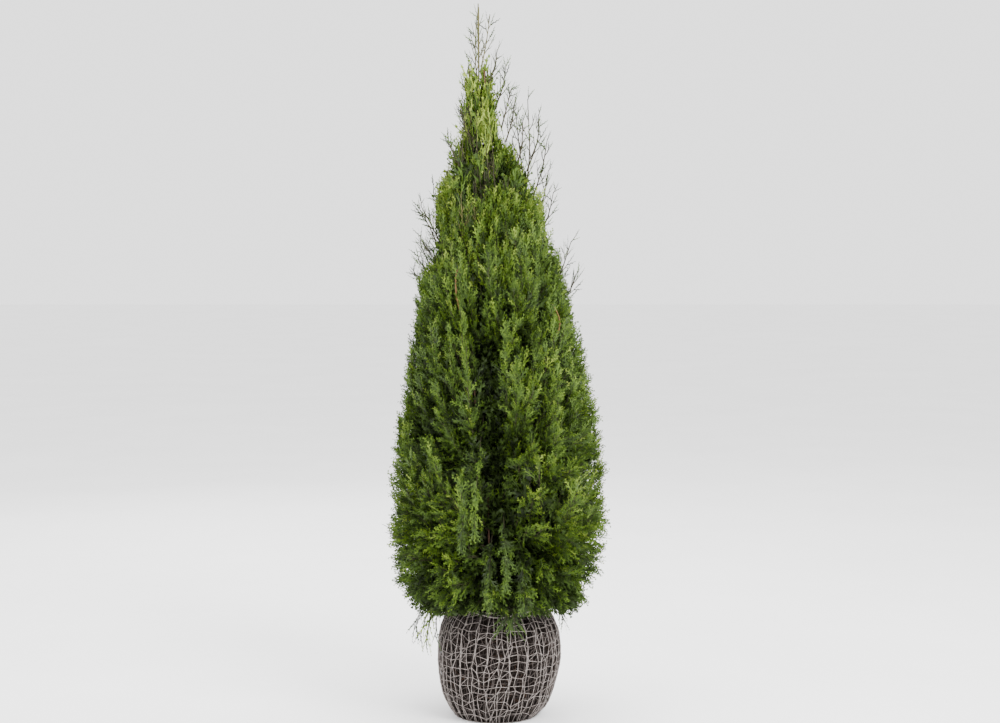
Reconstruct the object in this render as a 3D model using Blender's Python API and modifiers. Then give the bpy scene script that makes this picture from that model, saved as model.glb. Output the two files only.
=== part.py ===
"""A garden thuja, two metres tall, standing on the netted root ball it is sold with.

One trunk rises from the ball to the tip of its leader. Boughs leave it low and climb steeply, and
each ends where it enters a plume of foliage. A plume keeps to its own share of the crown: one stem
goes on from the bough, twigs branch from it by a seeded rule, and each twig ends in a toothed fan of
scale leaves. Units are metres, +Z is up, and the origin is the centre of the ball's flat underside.
An azimuth is counted anticlockwise from +X as seen from above, so -90 degrees faces -Y.
"""

import math
import random
from collections import namedtuple

import bmesh
import bpy
from mathutils import Matrix, Vector
from mathutils.bvhtree import BVHTree

# ---------------------------------------------------------------- driving dimensions, in metres
TOTAL_HEIGHT = 2.03  # underside of the ball to the tip of the leader
GAP = 0.0003  # clearance between two solids that meet
SEED = 14

BALL_RADIUS = 0.171  # of the soil, at its equator
BALL_EQUATOR = 0.186  # height of the widest ring
BALL_LOWER_HALF = 0.245  # half height of the ellipse that the lower part follows
BALL_UPPER_HALF = 0.165
BALL_SHOULDER = 2.5  # exponent of the upper part: over 2 is squarer than an ellipse
BALL_LEAN = 0.011  # how far the equator and the trunk's foot stand off the underside's centre
BALL_LUMP = 0.018  # share of the radius by which the soil bulges
SEAT_RADIUS = 0.036  # flat disc on top of the ball, where the trunk stands

NET_UPRIGHTS = 14  # the ball has as many sides, so that every strand lies along an edge of it
NET_BANDS = 6
NET_LOW, NET_HIGH = 0.006, 0.335  # heights of its lowest and highest ring
NET_STRAND = 0.0035

TRUNK_RADIUS = 0.0185
TRUNK_TIP_RADIUS = 0.0016
TRUNK_FLARE = 0.010  # how far the root flare stands out at the foot
TRUNK_FLARE_HEIGHT = 0.028
TRUNK_TIP_X = -0.0455  # the leader leans to -X
TRUNK_STRAIGHT = 1.70  # height above which the leader is upright
TRUNK_LATE_LEAN = 1.6  # exponent: over 1, the trunk leans later
TRUNK_SWAY = 0.005
TRUNK_POINTS = 15

# Reach of the foliage from the trunk's axis, as (height, radius).
CROWN_PROFILE = (
    (0.285, 0.215),
    (0.330, 0.250),
    (0.400, 0.282),
    (0.500, 0.302),
    (0.600, 0.315),
    (0.740, 0.300),
    (0.900, 0.275),
    (1.050, 0.248),
    (1.200, 0.214),
    (1.320, 0.184),
    (1.420, 0.144),
    (1.520, 0.110),
    (1.620, 0.076),
    (1.720, 0.054),
    (1.900, 0.030),
)
LEADER_BULGE = 0.070  # extra reach on the +X side, where a second leader stands
LEADER_BULGE_HEIGHT = 1.46
LEADER_BULGE_SPAN = 0.10
FOLD_DEPTH = 0.22  # share of the reach by which the crown falls back along the fold at the front
FOLD_AZIMUTH = -90
FOLD_WIDTH = 13  # degrees
FOLD_HEIGHT, FOLD_SPAN = 0.84, 0.26
# Radius of the column round the trunk that holds limbs and no foliage, as (height, radius).
HOLLOW_PROFILE = ((0.30, 0.105), (0.60, 0.085), (0.90, 0.062), (1.20, 0.040), (1.45, 0.024))
SWIRL = 0.42  # how far, in radians, the edge of a space turns from the outside in to the trunk
CLEARANCE = 0.002  # from a plume to the edge of its own space
CONE_CLEARANCE = 0.004  # from a plume to its floor and ceiling, which curve
BALL_CLEARANCE = 0.014  # from the soil to the lowest foliage, past the net

CORE_INSET = 0.014  # from the hollow to the core, where the bough comes in
CORE_ROUNDING = 5.0  # exponent of the core's form in its space: over 2 is fuller than an ellipsoid
BOUGH_INSET = 0.008  # from the hollow to where a bough meets its stem
STEM_SHARE = 0.55  # radius of a plume's stem as a share of its bough's
STEM_TIP_RADIUS = 0.0016
TWIG_ROOT_RADIUS, TWIG_END_RADIUS = 0.0026, 0.0009
FAN_THICKNESS_SHARE = 0.034
FAN_CENTRE = 0.40  # share of the length at which the fan is thickest
# Outline of a fan's half, from its tip round to its root, as shares of its length: (along, across).
FAN_OUTLINE = ((1.0, 0.0), (0.66, 0.10), (0.74, 0.30), (0.0, 0.0))
FAN_TRIES = 8
FAN_SPARE = 0.012  # how far a lobe may stand out past the crown's reach
FAN_SUNK = 0.27  # share of a fan's length at which its twig ends inside it
SHOOT_FAN = 0.065  # length of the narrow fan at the end of a bare shoot
SHOOT_TRIES, SHOOT_STEP = 12, 0.006
SHOOT_SPREAD = 0.06  # how much further out the shoots stand on the +X side, where a leader frays
# A thin spray that hangs over the ball from the skirt, as (azimuth, radius, height) of its ends.
HANGING_ROOT = (192, 0.222, 0.312)
HANGING_TIP = (190, 0.212, 0.222)

# A bound between two tiers: a cone that starts at a height on the trunk's axis, and whose rise
# outwards swings by wave as it goes round, so that no straight gap rings the crown.
Cone = namedtuple("Cone", "height rise wave turn")
CONE_WAVES = 3

# A tier of plumes, between the cones floor and ceiling.
# foot and entry are where a bough leaves the trunk and where it meets its plume, limb is its radius,
# rows and columns are those of a plume's twigs, climb is how steeply the lowest ones point, in
# degrees, and fan is the length of the fan that each carries. core is the share of the reach that
# the dense core takes. tips bare shoots rise to tip_top.
Tier = namedtuple(
    "Tier",
    "name plumes first floor ceiling foot entry limb rows columns climb fan core tips tip_top",
)
CONES = (
    Cone(0.392, -0.34, 0.00, 0.0),
    Cone(0.500, 0.95, 0.20, 0.4),
    Cone(0.880, 0.95, 0.20, 2.3),
    Cone(1.250, 0.95, 0.22, 4.6),
    Cone(1.500, 0.70, 0.30, 0.9),
    Cone(1.880, 0.00, 0.00, 0.0),
)
TIERS = (
    Tier("skirt", 6, -80, CONES[0], CONES[1], 0.385, 0.48, 0.0074, 4, 4, -24, 0.155, 0.76, 0, 0.0),
    Tier("middle", 6, -90, CONES[1], CONES[2], 0.53, 0.76, 0.0070, 4, 4, 12, 0.155, 0.75, 0, 0.0),
    Tier("upper", 5, -98, CONES[2], CONES[3], 0.80, 1.08, 0.0058, 4, 4, 16, 0.150, 0.73, 1, 1.50),
    Tier("leader", 3, -60, CONES[3], CONES[4], 1.17, 1.39, 0.0048, 4, 3, 20, 0.125, 0.66, 4, 1.78),
)
SPIRE = Tier("spire", 3, 0, CONES[4], CONES[5], 1.54, 1.58, 0.0034, 4, 2, 40, 0.085, 0.50, 1, 1.97)
CLIMB_TOP = 68  # degrees, at the top of every tier
LOWEST_ROW, HIGHEST_ROW = 0.07, 0.93  # lifts of the first and last row of twigs
LOWEST_SIZE, HIGHEST_SIZE = 0.76, 1.08  # of their fans, as a share of the tier's
SECTOR_JITTER = 0.16  # share of a sector by which its edge is turned
FOOT_STAGGER = 0.055  # span of heights over which the boughs of a tier leave the trunk
SPIRE_FOOT_STEP = 0.018  # from one spire plume's foot up to the next
SPIRE_KNEE = 0.004  # from the trunk's skin to where a spire plume's stem turns upwards
FLAT_ANGLE = math.radians(0.05)  # faces within this of each other are one flat face
UP = Vector((0, 0, 1))

BARK = ("bark", (0.150, 0.085, 0.050), 0.85)
SOIL = ("soil", (0.045, 0.030, 0.022), 0.95)
NETTING = ("netting", (0.420, 0.370, 0.345), 0.80)
FOLIAGE = {
    "skirt": ("foliage_deep", (0.060, 0.110, 0.022), 0.60),
    "middle": ("foliage_mid", (0.085, 0.155, 0.025), 0.60),
    "upper": ("foliage_mid", (0.085, 0.155, 0.025), 0.60),
    "leader": ("foliage_bright", (0.130, 0.210, 0.035), 0.60),
    "spire": ("foliage_bright", (0.130, 0.210, 0.035), 0.60),
}


# ---------------------------------------------------------------- scene, materials and meshes
def clear_scene():
    for obj in list(bpy.data.objects):
        bpy.data.objects.remove(obj)


def collection(name):
    made = bpy.data.collections.new(name)
    bpy.context.scene.collection.children.link(made)
    return made


def material(name, colour, roughness):
    found = bpy.data.materials.get(name)
    if found:
        return found
    made = bpy.data.materials.new(name)
    made.use_nodes = True
    shader = made.node_tree.nodes["Principled BSDF"]
    shader.inputs["Base Color"].default_value = (*colour, 1.0)
    shader.inputs["Roughness"].default_value = roughness
    shader.inputs["Metallic"].default_value = 0.0
    made.diffuse_color = (*colour, 1.0)
    return made


def object_of(name, shape, home, finish=None):
    """Links a new object for a bmesh, which is freed, or for a mesh."""
    if isinstance(shape, bmesh.types.BMesh):
        mesh = bpy.data.meshes.new(name)
        shape.to_mesh(mesh)
        shape.free()
    else:
        mesh = shape
    made = bpy.data.objects.new(name, mesh)
    if finish:
        mesh.materials.clear()
        mesh.materials.append(material(*finish))
    home.objects.link(made)
    return made


def evaluated_mesh(obj):
    """The mesh that obj's modifiers or bevel make, as a mesh of its own."""
    bpy.context.view_layer.update()
    graph = bpy.context.evaluated_depsgraph_get()
    return bpy.data.meshes.new_from_object(obj.evaluated_get(graph))


def hidden_cutter(obj):
    obj.hide_render = True
    obj.display_type = "WIRE"
    return obj


# ---------------------------------------------------------------- curves through space
def blend(low, high, share):
    return low + (high - low) * share


def ease(share):
    share = min(max(share, 0.0), 1.0)
    return share * share * (3 - 2 * share)


def profile_value(profile, height):
    """A smooth reading of (height, value) pairs: a Hermite curve with the chord slopes."""
    if height <= profile[0][0]:
        return profile[0][1]
    if height >= profile[-1][0]:
        return profile[-1][1]
    i = max(k for k in range(len(profile) - 1) if profile[k][0] <= height)
    (h0, v0), (h1, v1) = profile[i], profile[i + 1]
    before = profile[max(i - 1, 0)]
    after = profile[min(i + 2, len(profile) - 1)]
    slope0 = (v1 - before[1]) / (h1 - before[0])
    slope1 = (after[1] - v0) / (after[0] - h0)
    span = h1 - h0
    t = (height - h0) / span
    a, b = 2 * t**3 - 3 * t**2 + 1, t**3 - 2 * t**2 + t
    c, d = -2 * t**3 + 3 * t**2, t**3 - t**2
    return a * v0 + b * span * slope0 + c * v1 + d * span * slope1


def through(points, count):
    """count points, evenly spaced in the parameter, on a smooth curve through the given ones."""
    ends = [points[0] * 2 - points[1], *points, points[-1] * 2 - points[-2]]
    spans = len(points) - 1
    made = []
    for k in range(count):
        u = k / (count - 1) * spans
        i = min(int(u), spans - 1)
        t = u - i
        p0, p1, p2, p3 = ends[i : i + 4]
        made.append(
            0.5
            * (
                2 * p1
                + (p2 - p0) * t
                + (2 * p0 - 5 * p1 + 4 * p2 - p3) * t**2
                + (3 * p1 - p0 - 3 * p2 + p3) * t**3
            )
        )
    return made


def limb(name, points, radii, home, finish, bevel_resolution):
    """A tapering limb: a curve with filled caps, made a mesh with its caps welded."""
    curve = bpy.data.curves.new(name, "CURVE")
    curve.dimensions = "3D"
    curve.bevel_depth = 1.0
    curve.bevel_resolution = bevel_resolution
    curve.use_fill_caps = True
    spline = curve.splines.new("POLY")
    spline.points.add(len(points) - 1)
    for place, point, radius in zip(spline.points, points, radii):
        place.co = (*point, 1.0)
        place.radius = radius
    guide = bpy.data.objects.new(name + "_guide", curve)
    home.objects.link(guide)
    mesh = evaluated_mesh(guide)
    bpy.data.objects.remove(guide)
    bpy.data.curves.remove(curve)
    shape = bmesh.new()
    shape.from_mesh(mesh)
    bpy.data.meshes.remove(mesh)
    bmesh.ops.remove_doubles(shape, verts=shape.verts, dist=1e-6)
    if shape.calc_volume(signed=True) < 0:
        bmesh.ops.reverse_faces(shape, faces=shape.faces)
    return object_of(name, shape, home, finish)


# ---------------------------------------------------------------- the root ball and its net
def ball_radius(height):
    """Radius of the soil at a height: an ellipse below the equator, a squarer one above."""
    rise = height - BALL_EQUATOR
    if rise < 0:
        return BALL_RADIUS * math.sqrt(1 - (rise / BALL_LOWER_HALF) ** 2)
    power = BALL_SHOULDER
    return BALL_RADIUS * max(1 - (rise / BALL_UPPER_HALF) ** power, 0.0) ** (1 / power)


BALL_TOP = BALL_EQUATOR + BALL_UPPER_HALF * (
    1 - (SEAT_RADIUS / BALL_RADIUS) ** BALL_SHOULDER
) ** (1 / BALL_SHOULDER)
FOOT = BALL_TOP + GAP  # height of the trunk's flat cut


def ball_centre(height):
    return BALL_LEAN * ease(height / BALL_EQUATOR)


def ball_lump(azimuth, height):
    """Low, smooth bulges that fade out at the flat underside and at the seat."""
    fade = math.sin(math.pi * min(max(height / BALL_TOP, 0.0), 1.0))
    wave = math.sin(2 * azimuth + 0.6 + 9 * height) + 0.7 * math.sin(3 * azimuth - 1.9 - 14 * height)
    return 1 + BALL_LUMP * fade * wave / 1.7


def ball_point(azimuth, height, offset):
    """The point that stands offset off the soil's skin, at a height of the skin."""
    step = 0.001
    radius = ball_radius(height) * ball_lump(azimuth, height)
    fall = (ball_radius(max(height - step, 0)) - ball_radius(height)) / step
    along = offset / math.hypot(1, fall)
    reach = radius + along
    x = ball_centre(height) + reach * math.cos(azimuth)
    return Vector((x, reach * math.sin(azimuth), height + along * fall))


def ring_heights():
    """Heights of the net's rings, closer together where the ball turns in."""
    start = math.asin((NET_LOW - BALL_EQUATOR) / BALL_LOWER_HALF)
    end = math.asin((NET_HIGH - BALL_EQUATOR) / BALL_UPPER_HALF)
    turns = [blend(start, end, k / NET_BANDS) for k in range(NET_BANDS + 1)]
    halves = [BALL_LOWER_HALF if turn < 0 else BALL_UPPER_HALF for turn in turns]
    return [BALL_EQUATOR + half * math.sin(turn) for half, turn in zip(halves, turns)]


def root_ball(home):
    """A turned profile with a flat underside and a small flat seat, then pressed out of round."""
    heights = [0.0, *ring_heights(), BALL_TOP]
    profile = bmesh.new()
    # Read from the top down, so that the turned skin faces outwards.
    ring = [profile.verts.new((0, 0, BALL_TOP))]
    ring += [profile.verts.new((ball_radius(h), 0, h)) for h in reversed(heights)]
    ring.append(profile.verts.new((0, 0, 0)))
    for above, below in zip(ring, ring[1:]):
        profile.edges.new((above, below))
    turned = object_of("ball_profile", profile, home)
    screw = turned.modifiers.new("turn", "SCREW")
    screw.steps = screw.render_steps = NET_UPRIGHTS
    screw.use_merge_vertices = True
    screw.merge_threshold = 1e-5
    mesh = evaluated_mesh(turned)
    bpy.data.objects.remove(turned)
    for vertex in mesh.vertices:
        x, y, z = vertex.co
        if math.hypot(x, y) > 1e-4:
            vertex.co = ball_point(math.atan2(y, x), z, 0.0)
    ball = object_of("root_ball", mesh, home, SOIL)
    return ball


def ball_net(home):
    """The knitted net, as its main strands: a cage of rings and uprights just off the soil."""
    offset = NET_STRAND / 2 + GAP + 0.0006
    cage = bmesh.new()
    rings = []
    for height in ring_heights():
        turns = [2 * math.pi * k / NET_UPRIGHTS for k in range(NET_UPRIGHTS)]
        rings.append([cage.verts.new(ball_point(turn, height, offset)) for turn in turns])
    for below, above in zip(rings, rings[1:]):
        for k in range(NET_UPRIGHTS):
            after = (k + 1) % NET_UPRIGHTS
            cage.faces.new((below[k], below[after], above[after], above[k]))
    net = object_of("ball_net", cage, home, NETTING)
    wires = net.modifiers.new("strands", "WIREFRAME")
    wires.thickness = NET_STRAND
    wires.offset = 0.0
    wires.use_boundary = True
    wires.use_even_offset = False
    wires.use_replace = True
    return net


# ---------------------------------------------------------------- the trunk
def trunk_axis(height):
    """Centre of the trunk at a height: a slow lean to -X that straightens out, with a little sway."""
    share = (height - FOOT) / (TRUNK_STRAIGHT - FOOT)
    x = blend(BALL_LEAN, TRUNK_TIP_X, ease(max(share, 0.0) ** TRUNK_LATE_LEAN))
    sway = TRUNK_SWAY * ease(share * 4) * math.sin(2 * math.pi * 2.3 * share)
    return Vector((x + sway * 0.5, sway, height))


def trunk_radius(height):
    share = min(max((height - FOOT) / (TOTAL_HEIGHT - FOOT), 0.0), 1.0)
    taper = blend(TRUNK_RADIUS, TRUNK_TIP_RADIUS, share**0.85)
    return taper + TRUNK_FLARE * math.exp(-max(height - FOOT, 0.0) / TRUNK_FLARE_HEIGHT)


def trunk_heights():
    """Closer together in the root flare than above it."""
    return [FOOT + (TOTAL_HEIGHT - FOOT) * (k / (TRUNK_POINTS - 1)) ** 1.6 for k in range(TRUNK_POINTS)]


def trunk(home, cutters):
    """The trunk, and a fatter copy that cuts its neighbours clear of it."""
    heights = trunk_heights()
    points = [trunk_axis(h) for h in heights]
    points[0].xy = points[1].xy  # the first length stands upright, so its cut is level
    radii = [trunk_radius(h) for h in heights]
    made = limb("trunk", points, radii, home, BARK, 2)
    sides = 8
    wider = [r + GAP / math.cos(math.pi / sides) for r in radii]
    cutter = hidden_cutter(limb("trunk_cutter", points, wider, cutters, None, 2))
    return made, cutter


# ---------------------------------------------------------------- the shares of the crown
def crown_reach(azimuth, height):
    """How far foliage reaches from the trunk's axis, wider where the second leader stands."""
    bump = math.exp(-(((height - LEADER_BULGE_HEIGHT) / LEADER_BULGE_SPAN) ** 2))
    side = max(math.cos(azimuth), 0.0) ** 2
    off_fold = turn_between(math.radians(FOLD_AZIMUTH), azimuth) / math.radians(FOLD_WIDTH)
    fold = math.exp(-(off_fold**2) - ((height - FOLD_HEIGHT) / FOLD_SPAN) ** 4)
    reach = profile_value(CROWN_PROFILE, height) + LEADER_BULGE * bump * side
    return reach * (1 - FOLD_DEPTH * fold)


def crown_point(azimuth, radius, height):
    axis = trunk_axis(height)
    return axis + Vector((radius * math.cos(azimuth), radius * math.sin(azimuth), 0))


def turn_between(start, end):
    """The angle from start to end, from -180 to 180 degrees."""
    return (end - start + math.pi) % (2 * math.pi) - math.pi


def swirl(radius, height):
    """How far the edges of the spaces are turned at a radius, so that no gap looks straight in."""
    return SWIRL * (1 - radius / profile_value(CROWN_PROFILE, height))


class Space:
    """The share of the crown that one plume keeps to: a sector of one tier."""

    def __init__(self, tier, number, start, end):
        self.tier = tier
        self.number = number
        self.name = f"{tier.name}_{number}"
        self.start, self.end = start, end
        self.azimuth = (start + end) / 2
        self.is_spire = tier is SPIRE

    def hollow(self, height):
        """Radius of the space round the trunk that is left to the limbs."""
        if self.is_spire:
            return trunk_radius(height) + CLEARANCE
        return profile_value(HOLLOW_PROFILE, height)

    def height(self, azimuth, radius, lift):
        """The height that is lift of the way from the floor to the ceiling."""
        floor, ceiling = (
            cone.height + radius * (cone.rise + cone.wave * math.sin(CONE_WAVES * azimuth + cone.turn))
            for cone in (self.tier.floor, self.tier.ceiling)
        )
        return blend(floor, ceiling, lift)

    def polar(self, point):
        """A point's azimuth and radius about the trunk, and how far it is in from the sector's edges."""
        offset = point - trunk_axis(point.z)
        radius = math.hypot(offset.x, offset.y)
        azimuth = math.atan2(offset.y, offset.x)
        unturned = azimuth - swirl(radius, point.z)
        inside = min(turn_between(self.start, unturned), turn_between(unturned, self.end))
        return azimuth, radius, radius * math.sin(max(min(inside, math.pi / 2), -math.pi / 2))

    def holds(self, point):
        """Whether a point lies in the space, or no more than FAN_SPARE out past the crown's reach."""
        azimuth, radius, inside = self.polar(point)
        inner = self.hollow(point.z) + (CLEARANCE if self.is_spire else CORE_INSET)
        if inside < CLEARANCE or not inner < radius < crown_reach(azimuth, point.z) + FAN_SPARE:
            return False
        above_floor = point.z - self.height(azimuth, radius, 0)
        below_ceiling = self.height(azimuth, radius, 1) - point.z
        if min(above_floor, below_ceiling) < CONE_CLEARANCE:
            return False
        soil = ball_radius(point.z) if point.z < BALL_TOP else SEAT_RADIUS
        clear = radius > soil * (1 + BALL_LUMP) + BALL_CLEARANCE
        return clear and point.z > CROWN_PROFILE[0][0] or point.z > BALL_TOP + BALL_CLEARANCE

    def holds_shoot(self, point):
        """Whether a point is in the space, or in the open air over it, up to the tier's tip_top."""
        if self.holds(point):
            return True
        azimuth, radius, inside = self.polar(point)
        if inside < CLEARANCE or not self.height(azimuth, radius, 0.5) < point.z < self.tier.tip_top:
            return False
        return self.is_spire or radius > crown_reach(azimuth, point.z) + FAN_SPARE + CLEARANCE

    def surface(self, azimuth, lift):
        """Azimuth, radius and height of the crown's outside, lift of the way up the space."""
        height = self.height(azimuth, 0.1, lift)
        for _ in range(12):
            height = self.height(azimuth, crown_reach(azimuth, height), lift)
        height = max(height, CROWN_PROFILE[0][0] + CLEARANCE)
        return azimuth, crown_reach(azimuth, height), height


def draw(name):
    """A seeded source of chance of its own for each tier and each plume."""
    return random.Random(f"{SEED} {name}")


def spaces_of(tier):
    """The sectors of a tier, with their edges turned a little by a seeded draw."""
    rng = draw(tier.name)
    width = 2 * math.pi / tier.plumes
    edges = [math.radians(tier.first) + k * width for k in range(tier.plumes)]
    jitter = SECTOR_JITTER * width * (tier is not SPIRE)
    edges = [edges[0]] + [e + rng.uniform(-1, 1) * jitter for e in edges[1:]]
    edges.append(edges[0] + 2 * math.pi)
    return [Space(tier, k + 1, edges[k], edges[k + 1]) for k in range(tier.plumes)]


# ---------------------------------------------------------------- a plume of foliage
def within(space, share, lift):
    """A point in the middle of a space's width, at a share of the crown's reach and at a lift."""
    _, reach, height = space.surface(space.azimuth, lift)
    radius = share * reach
    azimuth = space.azimuth
    for _ in range(6):
        azimuth = space.azimuth + swirl(radius, height)
        height = space.height(azimuth, radius, lift)
    return crown_point(azimuth, radius, height)


def plume_path(space):
    """The way of a bough and of the stem that goes on from it. They meet at the third point."""
    tier, azimuth = space.tier, space.azimuth
    foot_height = tier.foot + FOOT_STAGGER * (2 * space.number % tier.plumes) / tier.plumes
    entry_radius = space.hollow(tier.entry) + BOUGH_INSET
    knee_radius = trunk_radius(tier.foot) + 0.35 * entry_radius
    return [
        crown_point(azimuth, 0.0, foot_height),
        crown_point(azimuth, knee_radius, blend(foot_height, tier.entry, 0.45)),
        crown_point(azimuth, entry_radius, tier.entry),
        within(space, 0.60, 0.45),
        within(space, 0.66, 0.90),
    ]


def spire_stem(space, skin):
    """A spire plume's stem. It leaves the trunk's skin squarely, its flat end just clear of it."""
    height = space.tier.foot + SPIRE_FOOT_STEP * space.number
    out = Vector((math.cos(space.azimuth), math.sin(space.azimuth), 0))
    hit, normal, _, _ = skin.ray_cast(trunk_axis(height) + out, -out)
    knee = hit + normal * SPIRE_KNEE
    return [hit + normal * GAP, *through([knee, *plume_path(space)[3:]], 8)]


def fan_frame(root, tip, width_way):
    """A fan's way from root to tip, and the way across it, both as long as the fan."""
    along = tip - root
    across = width_way - along * (width_way.dot(along) / along.length_squared)
    return along, across.normalized() * along.length


def fan(name, root, tip, width_way, home):
    """A toothed fan of scale leaves: a two-sided pyramid over a lobed outline. It starts as a
    sphere of one ring, whose points are moved out to the lobes."""
    along, across = fan_frame(root, tip, width_way)
    half = len(FAN_OUTLINE) - 1
    shape = bmesh.new()
    bmesh.ops.create_uvsphere(shape, u_segments=2 * half, v_segments=2, radius=1.0)
    for vertex in shape.verts:
        if abs(vertex.co.z) > 0.5:
            side = math.copysign(FAN_THICKNESS_SHARE / 2, vertex.co.z)
            vertex.co = root + along * FAN_CENTRE + along.cross(across).normalized() * side * along.length
            continue
        turn = math.atan2(vertex.co.y, vertex.co.x)
        forward, sideways = FAN_OUTLINE[round(abs(turn) / math.pi * half)]
        vertex.co = root + along * forward + across * math.copysign(sideways, turn)
    return object_of(name, shape, home)


def fan_fits(root, tip, width_way, holds):
    """Whether all of the fan's outline passes the test, and so does its middle."""
    along, across = fan_frame(root, tip, width_way)
    for forward, sideways in FAN_OUTLINE:
        for side in (-sideways, 0, sideways):
            if not holds(root + along * forward + across * side):
                return False
    return True


def twig(name, foot, end, root_radius, end_radius, home):
    """A three-sided tapering twig."""
    shape = bmesh.new()
    length = (end - foot).length
    bmesh.ops.create_cone(
        shape, cap_ends=True, segments=3, radius1=root_radius, radius2=end_radius, depth=length
    )
    turn = (end - foot).to_track_quat("Z", "Y").to_matrix().to_4x4()
    bmesh.ops.transform(shape, matrix=Matrix.Translation((foot + end) / 2) @ turn, verts=shape.verts)
    return object_of(name, shape, home)


def core(name, space, home):
    """The dense heart of a plume: a block pressed into the form of the plume's space."""
    shape = bmesh.new()
    bmesh.ops.create_cube(shape, size=2.0)
    bmesh.ops.subdivide_edges(shape, edges=shape.edges, cuts=1, use_grid_fill=True)
    for vertex in shape.verts:
        power = CORE_ROUNDING
        swell = sum(abs(c) ** power for c in vertex.co) ** (-1 / power)
        out, across, up = (c * swell for c in vertex.co)
        middle = blend(space.start, space.end, 0.5 + 0.47 * across)
        lift = 0.5 + 0.47 * up
        azimuth = middle
        height = space.height(azimuth, 0.1, lift)
        for _ in range(12):
            inner = space.hollow(height) + (CLEARANCE if space.is_spire else CORE_INSET)
            outer = space.tier.core * crown_reach(azimuth, height)
            radius = blend(inner, max(outer, inner + 0.004), 0.5 + 0.5 * out)
            azimuth = middle + swirl(radius, height)
            height = space.height(azimuth, radius, lift)
        vertex.co = crown_point(azimuth, radius, height)
    return object_of(name, shape, home)


def twig_targets(space, rng):
    """Where twigs end: staggered rows over the outside of the space, as even as a seeded rule gives.
    Each is an azimuth as a share of the space's width, and a lift from its floor to its ceiling."""
    tier = space.tier
    made = []
    for row in range(tier.rows):
        for column in range(tier.columns):
            across = (column + 0.5 + 0.2 * (-1) ** row) / tier.columns + rng.uniform(-0.05, 0.05)
            lift = blend(LOWEST_ROW, HIGHEST_ROW, row / (tier.rows - 1))
            made.append((across, lift + rng.uniform(-0.03, 0.03)))
    return made


def twig_foot(stem, root):
    """Where a twig leaves the stem: lower than the fan that it carries, never at a knot twice."""
    height = min(max(root.z - 0.4 * root_distance(stem, root), stem[1].z + 0.01), stem[-2].z)
    i = max(k for k in range(len(stem) - 1) if stem[k].z <= height)
    share = (height - stem[i].z) / (stem[i + 1].z - stem[i].z)
    return stem[i].lerp(stem[i + 1], share)


def root_distance(stem, point):
    return min((place - point).length for place in stem)


def sprays(space, stem, rng, bits):
    """Grows a twig with its fan to each target. One that would leave the space is drawn in towards
    its middle and made smaller, and is left out if that does not help."""
    grown = 0
    for across, lift in twig_targets(space, rng):
        climb = math.radians(blend(space.tier.climb, CLIMB_TOP, lift) + rng.uniform(-8, 8))
        lean, turn = rng.uniform(-0.3, 0.3), rng.choice((-1, 1)) * rng.uniform(0.3, 1.2)
        size = blend(LOWEST_SIZE, HIGHEST_SIZE, lift) * rng.uniform(0.93, 1.07)
        for attempt in range(FAN_TRIES):
            azimuth = blend(space.start, space.end, blend(across, 0.5, 0.07 * attempt))
            azimuth, radius, height = space.surface(azimuth, lift - 0.015 * attempt)
            tip = crown_point(azimuth, radius, height)
            out = Vector((math.cos(azimuth), math.sin(azimuth), 0))
            tangent = Vector((-out.y, out.x, 0))
            way = out * math.cos(climb) + UP * math.sin(climb) + tangent * lean
            way.normalize()
            root = tip - way * space.tier.fan * size * 0.96**attempt
            width_way = Matrix.Rotation(turn * 0.85**attempt, 3, way) @ tangent
            if fan_fits(root, tip, width_way, space.holds):
                break
        else:
            continue
        grown += 1
        fan(f"fan_{grown}", root, tip, width_way, bits)
        end = root.lerp(tip, FAN_SUNK)
        twig(f"twig_{grown}", twig_foot(stem, root), end, TWIG_ROOT_RADIUS, TWIG_END_RADIUS, bits)
    return grown


def bare_shoots(space, stem, rng, bits):
    """Slender shoots that stand up past the plume, each with one narrow fan at its end. One that
    would meet the crown above is leaned out further, and is left out if that does not help."""
    tier = space.tier
    for k in range(tier.tips):
        turn = space.azimuth + (k - (tier.tips - 1) / 2) * 0.5 + rng.uniform(-0.1, 0.1)
        foot = stem[-3 - k % 2]
        height = blend(foot.z, tier.tip_top, rng.uniform(0.82, 1.0))
        foot_radius = (foot - trunk_axis(foot.z)).xy.length
        for attempt in range(SHOOT_TRIES):
            outside = crown_reach(turn, height) + FAN_SPARE + 2 * CLEARANCE
            outside += SHOOT_SPREAD * max(math.cos(turn), 0)
            stand = foot_radius if space.is_spire else max(foot_radius, outside)
            tip = crown_point(turn, stand + SHOOT_STEP * attempt, height)
            root = tip.lerp(foot, SHOOT_FAN / (tip - foot).length)
            tangent = Vector((-math.sin(turn), math.cos(turn), 0))
            way = [foot.lerp(root, share / 6) for share in range(7)]
            if all(map(space.holds_shoot, way)) and fan_fits(root, tip, tangent, space.holds_shoot):
                break
        else:
            continue
        fan(f"shoot_fan_{k}", root, tip, tangent, bits)
        twig(f"shoot_{k}", foot, root.lerp(tip, 0.35), TWIG_ROOT_RADIUS, TWIG_END_RADIUS, bits)


def hanging_ends():
    """The root and the tip of the thin spray that hangs over the ball's shoulder."""
    ends = (HANGING_ROOT, HANGING_TIP)
    return [crown_point(math.radians(azimuth), radius, height) for azimuth, radius, height in ends]


def hanging_spray(stem, bits):
    root, tip = hanging_ends()
    fan("hanging_fan", root, tip, Vector((0, 1, 0)), bits)
    foot = twig_foot(stem, root)
    twig("hanging_twig", foot, root.lerp(tip, FAN_SUNK), TWIG_ROOT_RADIUS, TWIG_END_RADIUS, bits)


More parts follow.
